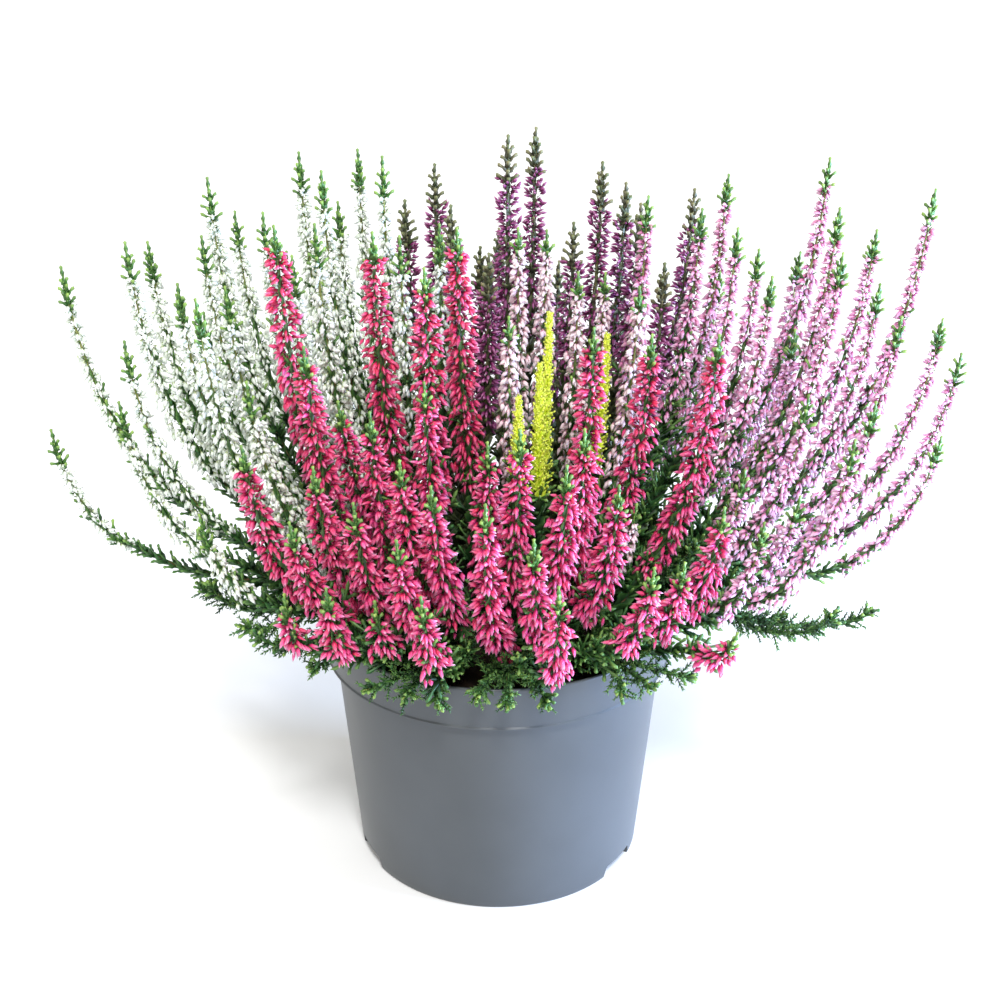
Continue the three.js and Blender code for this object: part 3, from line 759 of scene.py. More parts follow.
# The leafy column inside the buds: its radii from foot to top, its share of the spike and its colour, and
# the colour of the leaves between the buds.
spikeCores = table("radii, share, tone, leafTone", {
    "white": ((2.5, 1.9, 0.6), 0.8, 0.3, 0.8),
    "crimson": ((2.3, 1.0), 1, 0.2, 0.5),
    "blush": ((2.4, 1.9, 0.5), 0.7, 0.3, 0.8),
    "purple": ((2.2, 1.1), 1, 0.3, 0.5),
    "pink": ((2.4, 1.8, 0.5), 0.74, 0.3, 0.7),
})
# Spikes that are in bud further down than the rest of their kind.
lowSpikes = {
    ("crimson_branch_06", 2): 168, ("crimson_branch_10", 1): 150, ("crimson_branch_11", 1): 164,
    ("crimson_branch_15", 1): 150,
}
# Hands of buds: how many stand side by side, how far they go past the ends of the spike, and how their
# places, pitch, depth, size and colour vary.
clusters = {
    "buds": 4, "below": 5, "over": 3, "thinShare": 0.35, "alongSpread": 1.7, "turnSpread": 0.45,
    "handPitch": 9, "pitchCurve": 1.6, "pitchRange": (-85, 70), "upright": 0.5,
    "outermost": 1.06, "depth": 0.5, "depthCurve": 1.5, "innerFrom": 0.4, "leastOut": 0.4,
    "lengthVary": (0.8, 1.12), "topShorter": 0.2, "widthVary": (0.82, 1.18),
    "toneHeights": (180, 320), "tones": (0.66, 0.25), "toneVary": 0.27, "underVary": 0.25,
}
leaves = {
    "perMm": 1.0, "length": 2.7, "lengthVary": (0.75, 1.3), "width": 0.22, "footShare": 0.3,
    "turnVary": 0.4, "outAhead": (0.72, 0.7), "toneVary": 0.3,
}
# The leafy tip: where its leader and its pairs of side shoots begin and end, and how they vary.
tuftShape = {
    "over": 1, "leaderStep": 4, "leaderEnd": 3, "pairsBelow": 2, "pairsEnd": 5, "anyTurn": 6,
    "alongVary": 0.4, "turnVary": 0.3, "pitchVary": 5, "lengthVary": (0.85, 1.15),
}
tufts = table("pairStep, leaderLength, width, sideLength, shorten, pitch, tone", {
    "green": (2.5, 6.5, 1.15, 7.2, 0.36, (38, 60), (0.35, 0.9)),
    "crimson": (2.3, 5.5, 1.2, 6.6, 0.34, (42, 62), (0.35, 0.95)),
    "purple": (2.4, 5.5, 1.4, 7.8, 0.32, (36, 60), (0.1, 0.8)),
})

# The rough leafy column round a stem: ring step, pinch between leaves, how far a leaf points up, and its
# radius in the middle of the bush and on the outside, with the distances where these hold.
coreShape = {
    "points": 6, "step": 3.2, "pinch": 0.4, "vary": 0.45, "upShare": 1.1, "skew": 0.35, "turnVary": 0.25,
    "tipShare": 1.4, "leafAlong": 0.85, "pinchAlong": 0.05, "toneVary": 0.2,
    "outer": 1.9, "inner": 3.6, "innerOut": 74, "outerOut": 118, "widening": 0.4, "samples": 20,
}


# A smooth line through a shoot's stations, with a frame that doesn't twist.
def railOf(shoot):
    points = shoot["points"]
    chord = np.r_[0, np.cumsum(np.linalg.norm(np.diff(points, axis=0), axis=1))]
    slope = np.gradient(points, chord, axis=0)
    at = np.linspace(0, chord[-1], max(8, nearest(chord[-1] / growth["railStep"])))
    i = np.clip(np.searchsorted(chord, at, side="right") - 1, 0, len(chord) - 2)
    span = (chord[i + 1] - chord[i])[:, None]
    t = (at - chord[i])[:, None] / span
    place = (
        (2 * t**3 - 3 * t**2 + 1) * points[i] + (t**3 - 2 * t**2 + t) * span * slope[i]
        + (3 * t**2 - 2 * t**3) * points[i + 1] + (t**3 - t**2) * span * slope[i + 1]
    )
    ahead = unit(np.gradient(place, at, axis=0))
    side = np.empty_like(ahead)
    last = np.array([1.0, 0, 0])
    for k, along in enumerate(ahead):
        last = unit(last - along * (last @ along))
        side[k] = last
    return {
        "at": at, "rows": np.hstack([place, ahead, side]), "end": chord[-1],
        "radius": np.interp(at, chord, shoot["radii"]), "fullness": shoot["fullness"],
        "lowBud": chord[shoot["lowBud"]], "highBud": chord[shoot["highBud"]],
    }


# Place on the stem, direction of growth and outward direction at distances along a rail.
def onRail(rail, at, turn):
    rows = np.column_stack([np.interp(at, rail["at"], column) for column in rail["rows"].T])
    place, ahead, side = rows[:, :3], unit(rows[:, 3:6]), unit(rows[:, 6:])
    return place, ahead, leaning(side, np.cross(ahead, side), turn)


# The same for places spread up a stretch and turned on by the golden angle, with some play in the turn.
def onSpiral(rail, low, high, count, play, draw, shift=0.5):
    at = low + (np.arange(count) + shift) / count * (high - low)
    turn = np.arange(count) * math.radians(growth["goldenAngle"]) + draw.uniform(-play, play, count)
    return at, *onRail(rail, at, turn)


def newHeap():
    return {"parts": [], "materials": [], "smooth": []}


def addTo(heap, shape, material, smooth=True):
    heap["parts"].append(shape)
    heap["materials"].append(np.full(len(shape["faces"]), material))
    heap["smooth"].append(np.full(len(shape["faces"]), smooth))


# Rings of points round a stem, each point at its own turn and reach.
def ringPoints(place, ahead, out, turn, reach):
    across = np.cross(ahead, out)
    ring = out[:, None] * np.cos(turn)[..., None] + across[:, None] * np.sin(turn)[..., None]
    return place[:, None] + ring * reach[..., None]


# Faces between rings of equal size, with a point at either end.
def ringFaces(rings, sides):
    k, j = np.meshgrid(np.arange(rings - 1), np.arange(sides), indexing="ij")
    a = (k * sides + j).ravel()
    b = (k * sides + (j + 1) % sides).ravel()
    foot, top = rings * sides, rings * sides + 1
    j = np.arange(sides)
    last = (rings - 1) * sides
    return np.vstack([
        np.column_stack([a, b, b + sides]), np.column_stack([a, b + sides, a + sides]),
        np.column_stack([np.full(sides, foot), (j + 1) % sides, j]),
        np.column_stack([last + j, last + (j + 1) % sides, np.full(sides, top)]),
    ])


# Skins rings of points, with a point at the foot and one at the top.
def addRings(heap, rings, ends, along, tone, endTone, material, smooth):
    points = np.vstack([rings.reshape(-1, 3), *ends])
    faces = ringFaces(*rings.shape[:2])
    tones = np.r_[tone, endTone, endTone]
    shape = {"points": points, "faces": faces, "along": np.r_[along, 0, 1], "tone": tones}
    addTo(heap, shape, material, smooth)


def growStem(heap, rail, shoot, draw):
    look = growth
    count = max(4, nearest(rail["end"] / look["stemStep"]))
    at = np.linspace(0, rail["end"] - look["topGap"], count)
    sides = look["stemSides"]
    share = np.clip((rail["end"] - at) / look["thickAt"], 0, 1)
    radius = between((look["thinnest"], look["thickest"]), share)
    if shoot["start"] is not None:
        radius *= look["sideShare"]
    radius *= draw.uniform(*look["vary"], count)
    place, ahead, out = onRail(rail, at, np.zeros(count))
    turn = np.arange(sides) / sides * 2 * math.pi
    rings = ringPoints(place, ahead, out, turn[None], radius[:, None])
    ends = (place[0] - ahead[0] * look["footGap"], place[-1] + ahead[-1] * look["topGap"])
    tone = np.repeat(draw.uniform(0, 1, count), sides)
    addRings(heap, rings, ends, np.repeat(at / rail["end"], sides), tone, middleTone, barkSlot, True)


# A rough column of leaves close round the stem: ring after ring of points, in and out by turns.
def growCore(heap, rail, low, high, radii, tone, draw, material=leafSlot):
    look = coreShape
    at = np.linspace(low, high, max(3, nearest((high - low) / look["step"])))
    size = (len(at), look["points"])
    place, ahead, out = onRail(rail, at, np.zeros(len(at)))
    k, j = np.indices(size)
    stands = (k + j) % 2 == 1
    skew = draw.uniform(-look["turnVary"], look["turnVary"], size)
    turn = (j + look["skew"] * (k // 2 % 2)) / look["points"] * 2 * math.pi + skew
    vary = draw.uniform(1 - look["vary"], 1 + look["vary"], size)
    radius = np.interp(at, np.linspace(low, high, len(radii)), radii)
    reach = radius[:, None] * np.where(stands, 1, look["pinch"]) * vary
    rise = np.where(stands, look["step"] * look["upShare"], 0)
    rings = ringPoints(place, ahead, out, turn, reach) + ahead[:, None] * rise[..., None]
    ends = (place[0] - ahead[0], place[-1] + ahead[-1] * look["step"] * look["tipShare"])
    along = np.where(stands, look["leafAlong"], look["pinchAlong"]).ravel()
    tones = np.clip(tone + draw.uniform(-look["toneVary"], look["toneVary"], size), 0, 1).ravel()
    addRings(heap, rings, ends, along, tones, tone, material, False)


# Thick in the middle of the bush, where the leafy stems close up, and slim on the outside.
def growLeafyCore(heap, rail, low, high, tone, draw):
    look = coreShape
    at = np.linspace(low, high, look["samples"])
    place = onRail(rail, at, np.zeros(len(at)))[0]
    out = np.hypot(place[:, 0], place[:, 1])
    radii = np.interp(out, [look["innerOut"], look["outerOut"]], [look["inner"], look["outer"]])
    radii = np.minimum(radii, look["outer"] + (at - low) * look["widening"])
    growCore(heap, rail, low, high, radii, tone, draw)


# Copies of a shape, for the rows that are picked.
def addCopies(heap, shape, rows, material, picked):
    addTo(heap, copiesOf(shape, *[row[picked] for row in rows]), material)


# Buds stand in small hands: a few side by side on one side of the stem.
def growBuds(heap, rail, look, draw):
    low, high = rail["lowBud"] - clusters["below"], rail["highBud"] + clusters["over"]
    perMm = look["perMm"] * between((clusters["thinShare"], 1), rail["fullness"])
    hands = nearest((high - low) * perMm / clusters["buds"])
    count = hands * clusters["buds"]
    hand = np.repeat(np.arange(hands), clusters["buds"])
    at = low + (hand + 0.5) / hands * (high - low) + draw.normal(0, clusters["alongSpread"], count)
    at = np.clip(at, low, high)
    turn = hand * math.radians(growth["goldenAngle"]) + draw.normal(0, clusters["turnSpread"], count)
    place, ahead, out = onRail(rail, at, turn)
    share = (at - low) / (high - low)
    pitch = between(look["pitch"], share ** clusters["pitchCurve"])
    pitch += draw.normal(0, look["vary"], count)
    pitch += np.repeat(draw.normal(0, clusters["handPitch"], hands), clusters["buds"])
    pitch = np.radians(np.clip(pitch, *clusters["pitchRange"]))
    axes = unit(leaning(out, unit(ahead + (0, 0, clusters["upright"])), pitch))
    depth = draw.uniform(0, 1, count)
    reach = np.interp(at, rail["at"], rail["radius"])
    reach = np.maximum(reach, look["blunt"] * rail["radius"].max())
    reach *= look["reach"] * (clusters["outermost"] - clusters["depth"] * depth ** clusters["depthCurve"])
    shorter = 1 - clusters["topShorter"] * share**3
    lengths = look["length"] * draw.uniform(*clusters["lengthVary"], count) * shorter
    inner = np.maximum(reach - lengths * np.cos(pitch), clusters["leastOut"])
    widths = look["halfWidth"] * draw.uniform(*clusters["widthVary"], count)
    lit = np.interp(place[:, 2], clusters["toneHeights"], clusters["tones"])
    tones = lit + draw.normal(0, clusters["toneVary"], count)
    under = draw.normal((0, 0, -1), clusters["underVary"], (count, 3))
    rows = (place + out * inner[:, None], axes, under, lengths, widths, tones)
    deep = depth > clusters["innerFrom"]
    addCopies(heap, bud, rows, colourSlot, ~deep)
    addCopies(heap, innerBud, rows, colourSlot, deep)


# Single scale leaves between the buds.
def growLeaves(heap, rail, low, high, tone, draw):
    look = leaves
    count = nearest((high - low) * look["perMm"])
    at, place, ahead, out = onSpiral(rail, low, high, count, look["turnVary"], draw)
    axes = out * look["outAhead"][0] + ahead * look["outAhead"][1]
    reach = np.interp(at, rail["at"], rail["radius"])[:, None]
    lengths = look["length"] * draw.uniform(*look["lengthVary"], count)
    tones = tone + draw.uniform(-look["toneVary"], look["toneVary"], count)
    foot = place + out * reach * look["footShare"]
    addTo(heap, copiesOf(scaleLeaf, foot, axes, -out, lengths, lengths * look["width"], tones), leafSlot)


# The leafy tip: a leader over the stem and crossed pairs of side shoots that shorten to the top.
def growTuft(heap, rail, look, draw):
    shape = tuftShape
    low, top = rail["highBud"] + shape["over"], rail["end"]
    steps = max(2, nearest((top - low) / shape["leaderStep"]))
    at = low + np.arange(steps) / steps * (top - low - shape["leaderEnd"])
    place, ahead, out = onRail(rail, at, draw.uniform(0, shape["anyTurn"], steps))
    lengths = np.full(steps, look["leaderLength"])
    lengths[-1] = top - at[-1]
    tones = draw.uniform(*look["tone"], steps)
    addTo(heap, copiesOf(scaleShoot, place, ahead, out, lengths, look["width"], tones), leafSlot)
    pairs = max(2, nearest((top - low - shape["pairsEnd"]) / look["pairStep"]))
    level, share, turn = inPairs(pairs, math.pi / 2)
    count = len(level)
    at = low - shape["pairsBelow"] + level * look["pairStep"]
    at = at + draw.uniform(-shape["alongVary"], shape["alongVary"], count)
    turn = turn + draw.uniform(-shape["turnVary"], shape["turnVary"], count)
    turn += draw.uniform(0, shape["anyTurn"])
    place, ahead, out = onRail(rail, at, turn)
    pitch = between(look["pitch"], share) + draw.normal(0, shape["pitchVary"], count)
    axes = leaning(out, ahead, np.radians(pitch))
    lengths = look["sideLength"] * (1 - look["shorten"] * share) * draw.uniform(*shape["lengthVary"], count)
    tones = draw.uniform(*look["tone"], count)
    addTo(heap, copiesOf(shortShoot, place, axes, out, lengths, look["width"], tones), leafSlot)


# Side shoots of one shape up a leafy stretch of stem, where it runs within a range from the middle.
def growSides(heap, rail, low, high, name, draw):
    look, play = sideShoots[name], sidePlay
    count = max(1, nearest((high - low) / look["every"]))
    shift = draw.uniform(*play["shift"], count)
    at, place, ahead, out = onSpiral(rail, low, high, count, play["turn"], draw, shift)
    pitch = np.radians(draw.uniform(*look["pitch"], count))
    axes = leaning(out, unit(ahead + (0, 0, look["lift"])), pitch)
    shorter = 1 - look["shorten"] * (at / rail["end"]) ** 2
    lengths = look["length"] * shorter * draw.uniform(*play["length"], count)
    tones = np.clip(draw.normal(look["tone"], look["toneVary"], count), 0, 1)
    widths = np.full(count, look["width"]) if look["width"] else lengths
    distance = np.hypot(place[:, 0], place[:, 1]) + draw.uniform(-play["edge"], play["edge"], count)
    here = (distance >= look["from"]) & (distance < look["to"])
    addCopies(heap, look["shape"], (place, axes, -out, lengths, widths, tones), leafSlot, here)


# Side shoots change from fronds in the dense middle to a comb on the bare outside. For each: step along the
# stem, length, angle to the stem, pull upright, colour, width (0: as the length), the range from the middle
# of the plant, how much shorter they are at the tip, and how far up the buds they go.
usualSides = {"width": 0, "from": 0, "to": 400, "shorten": 0}
sideShoots = {
    "fronds": {
        "shape": frond, "every": 7, "length": 18, "pitch": (30, 62), "lift": 0.35,
        "tone": 0.18, "toneVary": 0.15, "to": 126,
    },
    "comb": {
        "shape": scaleShoot, "every": 1.6, "length": 9.5, "pitch": (38, 62), "lift": 0.15,
        "tone": 0.25, "toneVary": 0.16, "width": 1.15, "from": 78,
    },
    "within": {
        "shape": frond, "every": 13, "length": 13, "pitch": (35, 60), "lift": 0.4,
        "tone": 0.12, "toneVary": 0.12, "to": 118, "upTo": 0.4,
    },
    "outerWithin": {
        "shape": scaleShoot, "every": 4, "length": 8.5, "pitch": (40, 62), "lift": 0.2,
        "tone": 0.16, "toneVary": 0.12, "width": 1.0, "from": 96, "upTo": 0.4,
    },
    "between": {
        "shape": scaleShoot, "every": 18, "length": 10, "pitch": (42, 64), "lift": 0.4,
        "tone": 0.55, "toneVary": 0.2, "width": 1.15, "upTo": 0.7,
    },
    "skirtSprigs": {
        "shape": sprig, "every": 1.7, "length": 12.5, "pitch": (18, 60), "lift": 0.25,
        "tone": 0.4, "toneVary": 0.26, "shorten": 0.35,
    },
    "skirtFill": {
        "shape": scaleShoot, "every": 2.6, "length": 7, "pitch": (40, 75), "lift": 0.05,
        "tone": 0.14, "toneVary": 0.1, "width": 1.3, "shorten": 0.2,
    },
}
sideShoots = {name: {**usualSides, **look} for name, look in sideShoots.items()}
sidePlay = {"shift": (0.1, 0.9), "turn": 0.5, "length": (0.7, 1.2), "edge": 8}

# Layers of (shoots for each mm, length, angle), and how they shorten and turn from green to lemon.
goldenShoots = {
    "layers": [(1.6, 10, 58), (1.2, 7.5, 42)], "width": 0.95, "fade": 0.72, "vary": 7, "turnVary": 0.3,
    "lengthVary": (0.82, 1.18), "tone": (0.2, 1.0), "toneVary": 0.22, "lemonFrom": 0.6,
    "below": 4, "top": 2, "core": (3.4, 1.6), "coreTop": 3, "coreTone": 0.6,
}
skirtShape = {"core": (1.5, 1.1), "coreTop": 4, "coreTone": 0.2, "sidesTop": 3}
# The least stretches of buds and of leaves, how far the leaves go into the buds and past them, and how
# the leafy column starts and thins.
spikeGrowth = {
    "leastBuds": 12, "leastLeafy": 8, "leafyInto": 2, "leafyTone": 0.08, "thinShare": 0.5, "coreBelow": 2,
    "leavesPast": 4,
}


def growGolden(heap, rail, draw):
    look = goldenShoots
    low, high = rail["lowBud"] - look["below"], rail["end"] - look["top"]
    growCore(heap, rail, low, high - look["coreTop"], look["core"], look["coreTone"], draw, colourSlot)
    for perMm, length, pitch in look["layers"]:
        count = nearest((high - low) * perMm)
        at, place, ahead, out = onSpiral(rail, low, high, count, look["turnVary"], draw)
        axes = leaning(out, ahead, np.radians(pitch + draw.normal(0, look["vary"], count)))
        share = (at - low) / (high - low)
        lengths = length * (1 - look["fade"] * share) * draw.uniform(*look["lengthVary"], count)
        lighter = np.interp(share, [0, look["lemonFrom"]], look["tone"])
        tones = lighter + draw.normal(0, look["toneVary"], count)
        addTo(heap, copiesOf(goldenShoot, place, axes, out, lengths, look["width"], tones), colourSlot)


# A low leafy spray, or the leafy twig of a branch.
def growSkirt(heap, rail, foot, draw):
    look = skirtShape
    growCore(heap, rail, foot, rail["end"] - look["coreTop"], look["core"], look["coreTone"], draw)
    for name in ("skirtSprigs", "skirtFill"):
        growSides(heap, rail, foot, rail["end"] - look["sidesTop"], name, draw)
    growTuft(heap, rail, tufts["green"], draw)


def growSpike(heap, rail, kindName, draw):
    core = spikeCores[kindName]
    low, high = rail["lowBud"], rail["highBud"]
    past = spikeGrowth["leavesPast"]
    full = between((spikeGrowth["thinShare"], 1), rail["fullness"])
    radii = [radius * full for radius in core["radii"]]
    coreTop = low + core["share"] * (high - low)
    growCore(heap, rail, low - spikeGrowth["coreBelow"], coreTop, radii, core["tone"], draw)
    growBuds(heap, rail, spikes[kindName], draw)
    growLeaves(heap, rail, low - past, high + past, core["leafTone"], draw)
    for name in ("within", "outerWithin", "between"):
        growSides(heap, rail, low, low + sideShoots[name]["upTo"] * (high - low), name, draw)
    growTuft(heap, rail, tufts.get(kindName, tufts["green"]), draw)


def growShoot(heap, shoot, above, draw):
    rail = railOf(shoot)
    kindName = shoot["kind"]
    growStem(heap, rail, shoot, draw)
    foot = growth["foot"] if shoot["start"] is None else growth["forkFoot"]
    if kindName == "leafy":
        growSkirt(heap, rail, foot, draw)
        return
    if kindName in spikes:
        risen = rail["at"][rail["rows"][:, 2] > above]
        rail["lowBud"] = min(max(rail["lowBud"], risen[0]), rail["highBud"] - spikeGrowth["leastBuds"])
    leafyTop = max(foot + spikeGrowth["leastLeafy"], rail["lowBud"] + spikeGrowth["leafyInto"])
    growLeafyCore(heap, rail, foot, leafyTop, spikeGrowth["leafyTone"], draw)
    for name in ("fronds", "comb"):
        growSides(heap, rail, foot, leafyTop, name, draw)
    if kindName == "golden":
        growGolden(heap, rail, draw)
    else:
        growSpike(heap, rail, kindName, draw)


def writeMesh(name, heap, materials):
    whole = joinShapes(heap["parts"])
    faces = whole["faces"]
    mesh = bpy.data.meshes.new(name)
    mesh.vertices.add(len(whole["points"]))
    mesh.vertices.foreach_set("co", (whole["points"] * mm).ravel())
    mesh.loops.add(faces.size)
    mesh.loops.foreach_set("vertex_index", faces.ravel())
    mesh.polygons.add(len(faces))
    mesh.polygons.foreach_set("loop_start", np.arange(len(faces)) * 3)
    mesh.polygons.foreach_set("material_index", np.concatenate(heap["materials"]))
    mesh.polygons.foreach_set("use_smooth", np.concatenate(heap["smooth"]))
    for key in ("along", "tone"):
        attribute = mesh.attributes.new(key, "FLOAT", "POINT")
        attribute.data.foreach_set("value", whole[key].astype(np.float32))
    for material in materials:
        mesh.materials.append(material)
    mesh.update()
    made = bpy.data.objects.new(name, mesh)
    bpy.context.scene.collection.objects.link(made)
    return made


def growPlant(plant, materials):
    total = 0
    for number, branch in enumerate(plant):
        draw = np.random.default_rng(growth["firstSeed"] + number)
        heap = newHeap()
        for k, shoot in enumerate(branch["laid"]):
            usual = spikes[shoot["kind"]]["above"] if shoot["kind"] in spikes else 0
            growShoot(heap, shoot, lowSpikes.get((branch["name"], k), usual), draw)
        kindName = branch["kind"]
        leaf = "olive" if kindName == "purple" else "green"
        sepals = materials.get(kindName, materials["green"])
        name = branch["name"].replace("branch", "heather").replace("leafy_spray", "leafy_skirt")
        piece = writeMesh(name, heap, [materials["bark"], materials[leaf], sepals])
        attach(piece, "root")
        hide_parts(branch["name"])
        total += len(piece.data.polygons)
    print("plant triangles:", total)


materials = makePlantMaterials()
growPlant(plant, materials)


# A turned piece: a round face is extruded from ring to ring along the profile.
def turnPiece(name, profile, segments):
    radius, height = profile[0]
    size = {"vertices": segments, "radius": radius * mm}
    made = addShape(bpy.ops.mesh.primitive_circle_add, fill_type="NGON", **size)
    made.name = name
    startEdit()
    bpy.ops.mesh.select_mode(type="FACE")
    bpy.ops.transform.translate(value=(0, 0, height * mm))
    for nextRadius, nextHeight in profile[1:]:
        rise = {"value": (0, 0, (nextHeight - height) * mm)}
        bpy.ops.mesh.extrude_region_move(TRANSFORM_OT_translate=rise)
        scale = nextRadius / radius
        bpy.ops.transform.resize(value=(scale, scale, 1), center_override=(0, 0, 0))
        radius, height = nextRadius, nextHeight
    bpy.ops.mesh.select_all(action="SELECT")
    bpy.ops.mesh.normals_make_consistent(inside=False)
    endEdit()
    return made


def selectOnly(active, *others):
    bpy.ops.object.select_all(action="DESELECT")
    for made in (active, *others):
        made.select_set(True)
    bpy.context.view_layer.objects.active = active


slotShape = {
    "height": 7, "depth": 6, "halfAngle": 10.7, "lean": 4, "overcut": 6, "round": 1.6, "roundSteps": 4,
    "angles": (-65, 57, 176),
}


# Cuts a drainage slot with leaning ends and rounded corners through the lower edge of the pot.
def cutSlot(pot, angle):
    far = potShape["baseRadius"] + slotShape["overcut"]
    near = potShape["baseRadius"] - slotShape["depth"]
    half = far * math.tan(math.radians(slotShape["halfAngle"]))
    cutter = addShape(bpy.ops.mesh.primitive_cube_add, size=1)
    startEdit()
    bpy.ops.transform.resize(value=(2 * half * mm, (far - near) * mm, 2 * slotShape["height"] * mm))
    bpy.ops.transform.translate(value=(0, -(far + near) / 2 * mm, 0))
    endEdit()
    upper = [vertex.index for vertex in cutter.data.vertices if vertex.co.z > 0]
    bpy.ops.object.mode_set(mode="EDIT")
    bpy.ops.mesh.select_mode(type="VERT")
    pickVertices(cutter, upper)
    narrow = (half - slotShape["lean"]) / half
    bpy.ops.transform.resize(value=(narrow, 1, 1), center_override=(0, 0, 0))
    bpy.ops.mesh.bevel(offset=slotShape["round"] * mm, segments=slotShape["roundSteps"])
    bpy.ops.mesh.select_all(action="SELECT")
    bpy.ops.transform.rotate(value=-math.radians(angle), orient_axis="Z", center_override=(0, 0, 0))
    endEdit()
    selectOnly(pot)
    cut = pot.modifiers.new("slot", "BOOLEAN")
    cut.object = cutter
    cut.operation = "DIFFERENCE"
    cut.solver = "EXACT"
    bpy.ops.object.modifier_apply(modifier=cut.name)
    bpy.data.objects.remove(cutter)


potPaint = {
    "colours": [(0.35, "#474b4e"), (0.65, "#4e5255")],
    "roughness": 0.36, "rougher": 0.44, "glossRange": (0.3, 0.7),
    "patchMm": 60, "patchDetail": 4, "patchRoughness": 0.5, "grainMm": 0.7, "grainDetail": 2,
    "grainDepth": 0.02, "grainStrength": 0.35,
}


# Colour in soft patches and a fine grain in the surface.
def patchyMaterial(name, look, **constants):
    material, shader = newMaterial(name, look["roughness"], **constants)
    place = addNode(material, "ShaderNodeTexCoord")
    patches = addNode(
        material, "ShaderNodeTexNoise", Vector=(place, "Object"), Scale=1 / (look["patchMm"] * mm),
        Detail=look["patchDetail"], Roughness=look["patchRoughness"],
    )
    grain = addNode(
        material, "ShaderNodeTexNoise", Vector=(place, "Object"), Scale=1 / (look["grainMm"] * mm),
        Detail=look["grainDetail"],
    )
    bump = addNode(
        material, "ShaderNodeBump", Strength=look["grainStrength"], Distance=look["grainDepth"] * mm,
        Height=(grain, "Fac"),
    )
    colours = rampNode(material, (patches, "Fac"), look["colours"])
    feed(material, shader, Base_Color=(colours, "Color"), Normal=(bump, "Normal"))
    return material, shader, patches


# Moulded grey polypropylene: a satin skin with a fine moulded grain and a faint clouding of the gloss.
def potMaterial():
    look = potPaint
    material, shader, clouds = patchyMaterial("grey moulded polypropylene", look, IOR=1.49)
    gloss = addNode(
        material, "ShaderNodeMapRange", Value=(clouds, "Fac"),
        From_Min=look["glossRange"][0], From_Max=look["glossRange"][1],
        To_Min=look["roughness"], To_Max=look["rougher"],
    )
    feed(material, shader, Roughness=(gloss, "Result"))
    return material


# The pot's finer edges, as steps out and up from the foot, the shoulder, the band's lower edge and the rim.
potEdges = {
    "foot": [(-2, 0), (-1, 0.1), (-0.35, 0.5)],
    "wallHeights": (1.5, 4, 10, 30, 60, 90, 110), "wallEnd": 1.2,
    "ledge": [(-0.1, 0.4), (0.3, 1.2)],
    "roll": [(-1.4, 1), (-0.7, 0.2), (-0.1, 0), (0.55, 0.35), (0.6, 0.9), (0, 1.7), (0.4, 6)],
    "bead": [
        (-0.6, -6), (-0.1, -1.4), (-0.15, -0.6), (-0.55, -0.12), (-1.1, 0), (-1.65, -0.15), (-2.1, -0.7),
        (-2.25, -2),
    ],
    "innerBand": [(0, 3), (-0.7, potShape["wall"])],
    "innerShoulder": [(0.6, 0), (0, -1)],
    "innerHeights": (30, 4),
    "innerFoot": [(-0.8, 2), (-2, potShape["wall"])],
}


def stepsFrom(radius, height, edge):
    return [(radius + out, height + up) for out, up in potEdges[edge]]


# The pot: a leaning wall, a stepped band under the rim, rounded edges, and slots in the foot.
def makePot():
    foot, wall = potShape["baseRadius"], potShape["wall"]
    shoulder, shoulderHeight = potShape["shoulderRadius"], potShape["shoulderHeight"]
    band, rim, height = potShape["bandLowRadius"], potShape["rimRadius"], potShape["height"]
    slope = (shoulder - foot) / shoulderHeight
    wallHeights = (*potEdges["wallHeights"], shoulderHeight - potEdges["wallEnd"])
    profile = [
        *stepsFrom(foot, 0, "foot"), *[(foot + slope * z, z) for z in wallHeights],
        *stepsFrom(shoulder, shoulderHeight, "ledge"), *stepsFrom(band, shoulderHeight, "roll"),
        *stepsFrom(rim, height, "bead"), *stepsFrom(band - wall, shoulderHeight, "innerBand"),
        *stepsFrom(shoulder - wall, shoulderHeight, "innerShoulder"),
        *[(foot - wall + slope * z, z) for z in potEdges["innerHeights"]],
        *stepsFrom(foot - wall, 0, "innerFoot"),
    ]
    pot = turnPiece("pot_shell", profile, potShape["segments"])
    for angle in slotShape["angles"]:
        cutSlot(pot, angle)
    bpy.ops.object.shade_smooth_by_angle(angle=math.radians(potShape["smoothAngle"]))
    pot.data.materials.clear()
    pot.data.materials.append(potMaterial())
    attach(pot, "root")
    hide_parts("pot")
    print("pot faces:", len(pot.data.polygons))


soilPaint = {
    "colours": [(0.3, "#140d08"), (0.55, "#2a1c12"), (0.75, "#4a3524")], "roughness": 0.92,
    "patchMm": 5, "patchDetail": 6, "patchRoughness": 0.7, "grainMm": 0.9, "grainDetail": 3,
    "grainDepth": 0.4, "grainStrength": 0.8,
}
# The soil's relief as (size, roughness, height), the step and count of its octaves, how far under the top
# its side ends, and from where points are moved.
relief = {"waves": [(21, 1, 1.1), (4.5, 0.8, 0.8)], "octaves": (2, 3), "flatUnder": 2, "movedFrom": 1}
# The loose crumbs: how far from the edge and how deep they lie, their tilt and their sizes.
crumbs = {
    "count": 500, "seed": 77, "inset": 2, "sink": 0.5, "tilt": 0.5, "upright": 0.8,
    "least": 0.5, "more": 1.4, "flat": 0.8,
}


# Damp peat: nearly black, matt, with brown fibres and fine grain.
def soilMaterial():
    return patchyMaterial("damp peat", soilPaint)[0]


def soilHeight(x, y):
    place = Vector((x, y, 0))
    octaves = relief["octaves"]
    waves = [high * noise.fractal(place / size, rough, *octaves) for size, rough, high in relief["waves"]]
    return sum(waves, soilShape["top"])


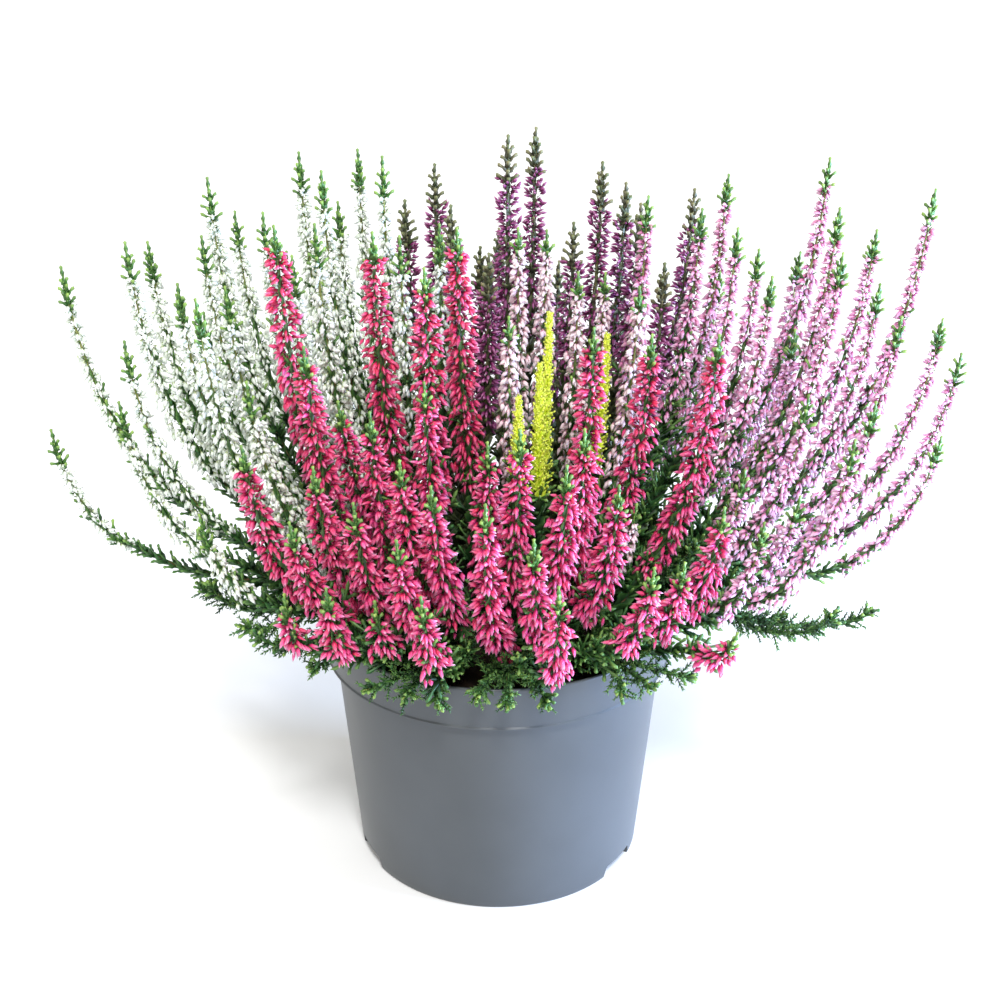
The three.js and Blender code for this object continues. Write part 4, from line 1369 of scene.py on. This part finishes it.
# Loose crumbs lie in the soil's top, out to a radius.
def makeCrumbs(radius, material):
    draw = np.random.default_rng(crumbs["seed"])
    count = crumbs["count"]
    turn = draw.uniform(0, 2 * math.pi, count)
    out = radius * np.sqrt(draw.uniform(0, 1, count))
    places = np.column_stack([out * np.cos(turn), out * np.sin(turn), np.zeros(count)])
    places[:, 2] = [soilHeight(x, y) - crumbs["sink"] for x, y, z in places]
    axes = draw.normal(0, crumbs["tilt"], (count, 3)) + (0, 0, crumbs["upright"])
    sizes = crumbs["least"] + crumbs["more"] * draw.uniform(0, 1, count) ** 3
    under = draw.normal(0, 1, (count, 3))
    tones = draw.uniform(0, 1, count)
    heap = newHeap()
    addTo(heap, copiesOf(crumb, places, axes, under, sizes * crumbs["flat"], sizes, tones), 0)
    return writeMesh("peat_crumbs", heap, [material])


# The soil fills the pot, and its top is loose and crumbly.
def makeSoil():
    look = soilShape
    wallGap = potShape["wall"] / 4 + look["clearance"]
    slope = (potShape["shoulderRadius"] - potShape["baseRadius"]) / potShape["shoulderHeight"]
    bottom = potShape["wall"] + look["clearance"]
    lower = potShape["baseRadius"] - potShape["wall"] + slope * look["setBack"] - wallGap
    upper = potShape["shoulderRadius"] - potShape["wall"] - wallGap
    inward = [(upper * (1 - k / look["rings"]), look["top"]) for k in range(1, look["rings"])]
    profile = [
        (lower - look["setBack"], bottom), (lower, bottom + look["setBack"]),
        (upper, potShape["shoulderHeight"]), (upper, look["top"] - relief["flatUnder"]), *inward,
    ]
    soil = turnPiece("peat_soil", profile, look["segments"])
    for vertex in soil.data.vertices:
        if vertex.co.z > (look["top"] - relief["movedFrom"]) * mm:
            vertex.co.z = soilHeight(vertex.co.x / mm, vertex.co.y / mm) * mm
    bpy.ops.object.shade_smooth()
    soil.data.materials.append(soilMaterial())
    selectOnly(soil, makeCrumbs(upper - crumbs["inset"], soil.data.materials[0]))
    bpy.ops.object.join()
    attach(soil, "root")
    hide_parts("soil")
    print("soil faces:", len(soil.data.polygons))


makePot()
makeSoil()

studio = {
    "sky": "#fbfaf7", "skyPower": 0.91,
    "sun": {"place": (0.8, -0.9, 1.2), "power": 2.2, "turn": 8, "height": 52, "angle": 12},
    "side": {"place": (1.2, -0.24, 0.18), "size": 0.5, "power": 52, "colour": "#b2d0ff", "aim": (0, 0, 0.2)},
    "floor": {"radius": 14, "sides": 96, "colour": "#f4f4f4", "roughness": 0.9},
}


def addLamp(kind, name, look):
    bpy.ops.object.light_add(type=kind, location=look["place"])
    lamp = bpy.context.object
    lamp.name = name
    lamp.data.energy = look["power"]
    return lamp


# A soft sun from the front, a cool panel on the right, and a white surround.
def makeStudio():
    look = studio["sun"]
    sun = addLamp("SUN", "key", look)
    sun.data.angle = math.radians(look["angle"])
    sun.rotation_euler = (math.radians(90 - look["height"]), 0, math.radians(look["turn"]))
    look = studio["side"]
    panel = addLamp("AREA", "side panel", look)
    panel.data.size = look["size"]
    panel.data.color = linear(look["colour"])[:3]
    panel.rotation_euler = (Vector(look["aim"]) - panel.location).to_track_quat("-Z", "Y").to_euler()
    world = bpy.data.worlds.new("studio")
    bpy.context.scene.world = world
    world.use_nodes = True
    background = world.node_tree.nodes["Background"]
    background.inputs["Color"].default_value = linear(studio["sky"])
    background.inputs["Strength"].default_value = studio["skyPower"]
    look = studio["floor"]
    size = {"vertices": look["sides"], "radius": look["radius"]}
    floor = addShape(bpy.ops.mesh.primitive_circle_add, fill_type="NGON", **size)
    floor.name = "floor"
    paint, shader = newMaterial("matt white board", look["roughness"])
    shader.inputs["Base Color"].default_value = linear(look["colour"])
    floor.data.materials.append(paint)
    print("studio set up")


makeStudio()
bpy.context.scene.view_settings.view_transform = "Standard"
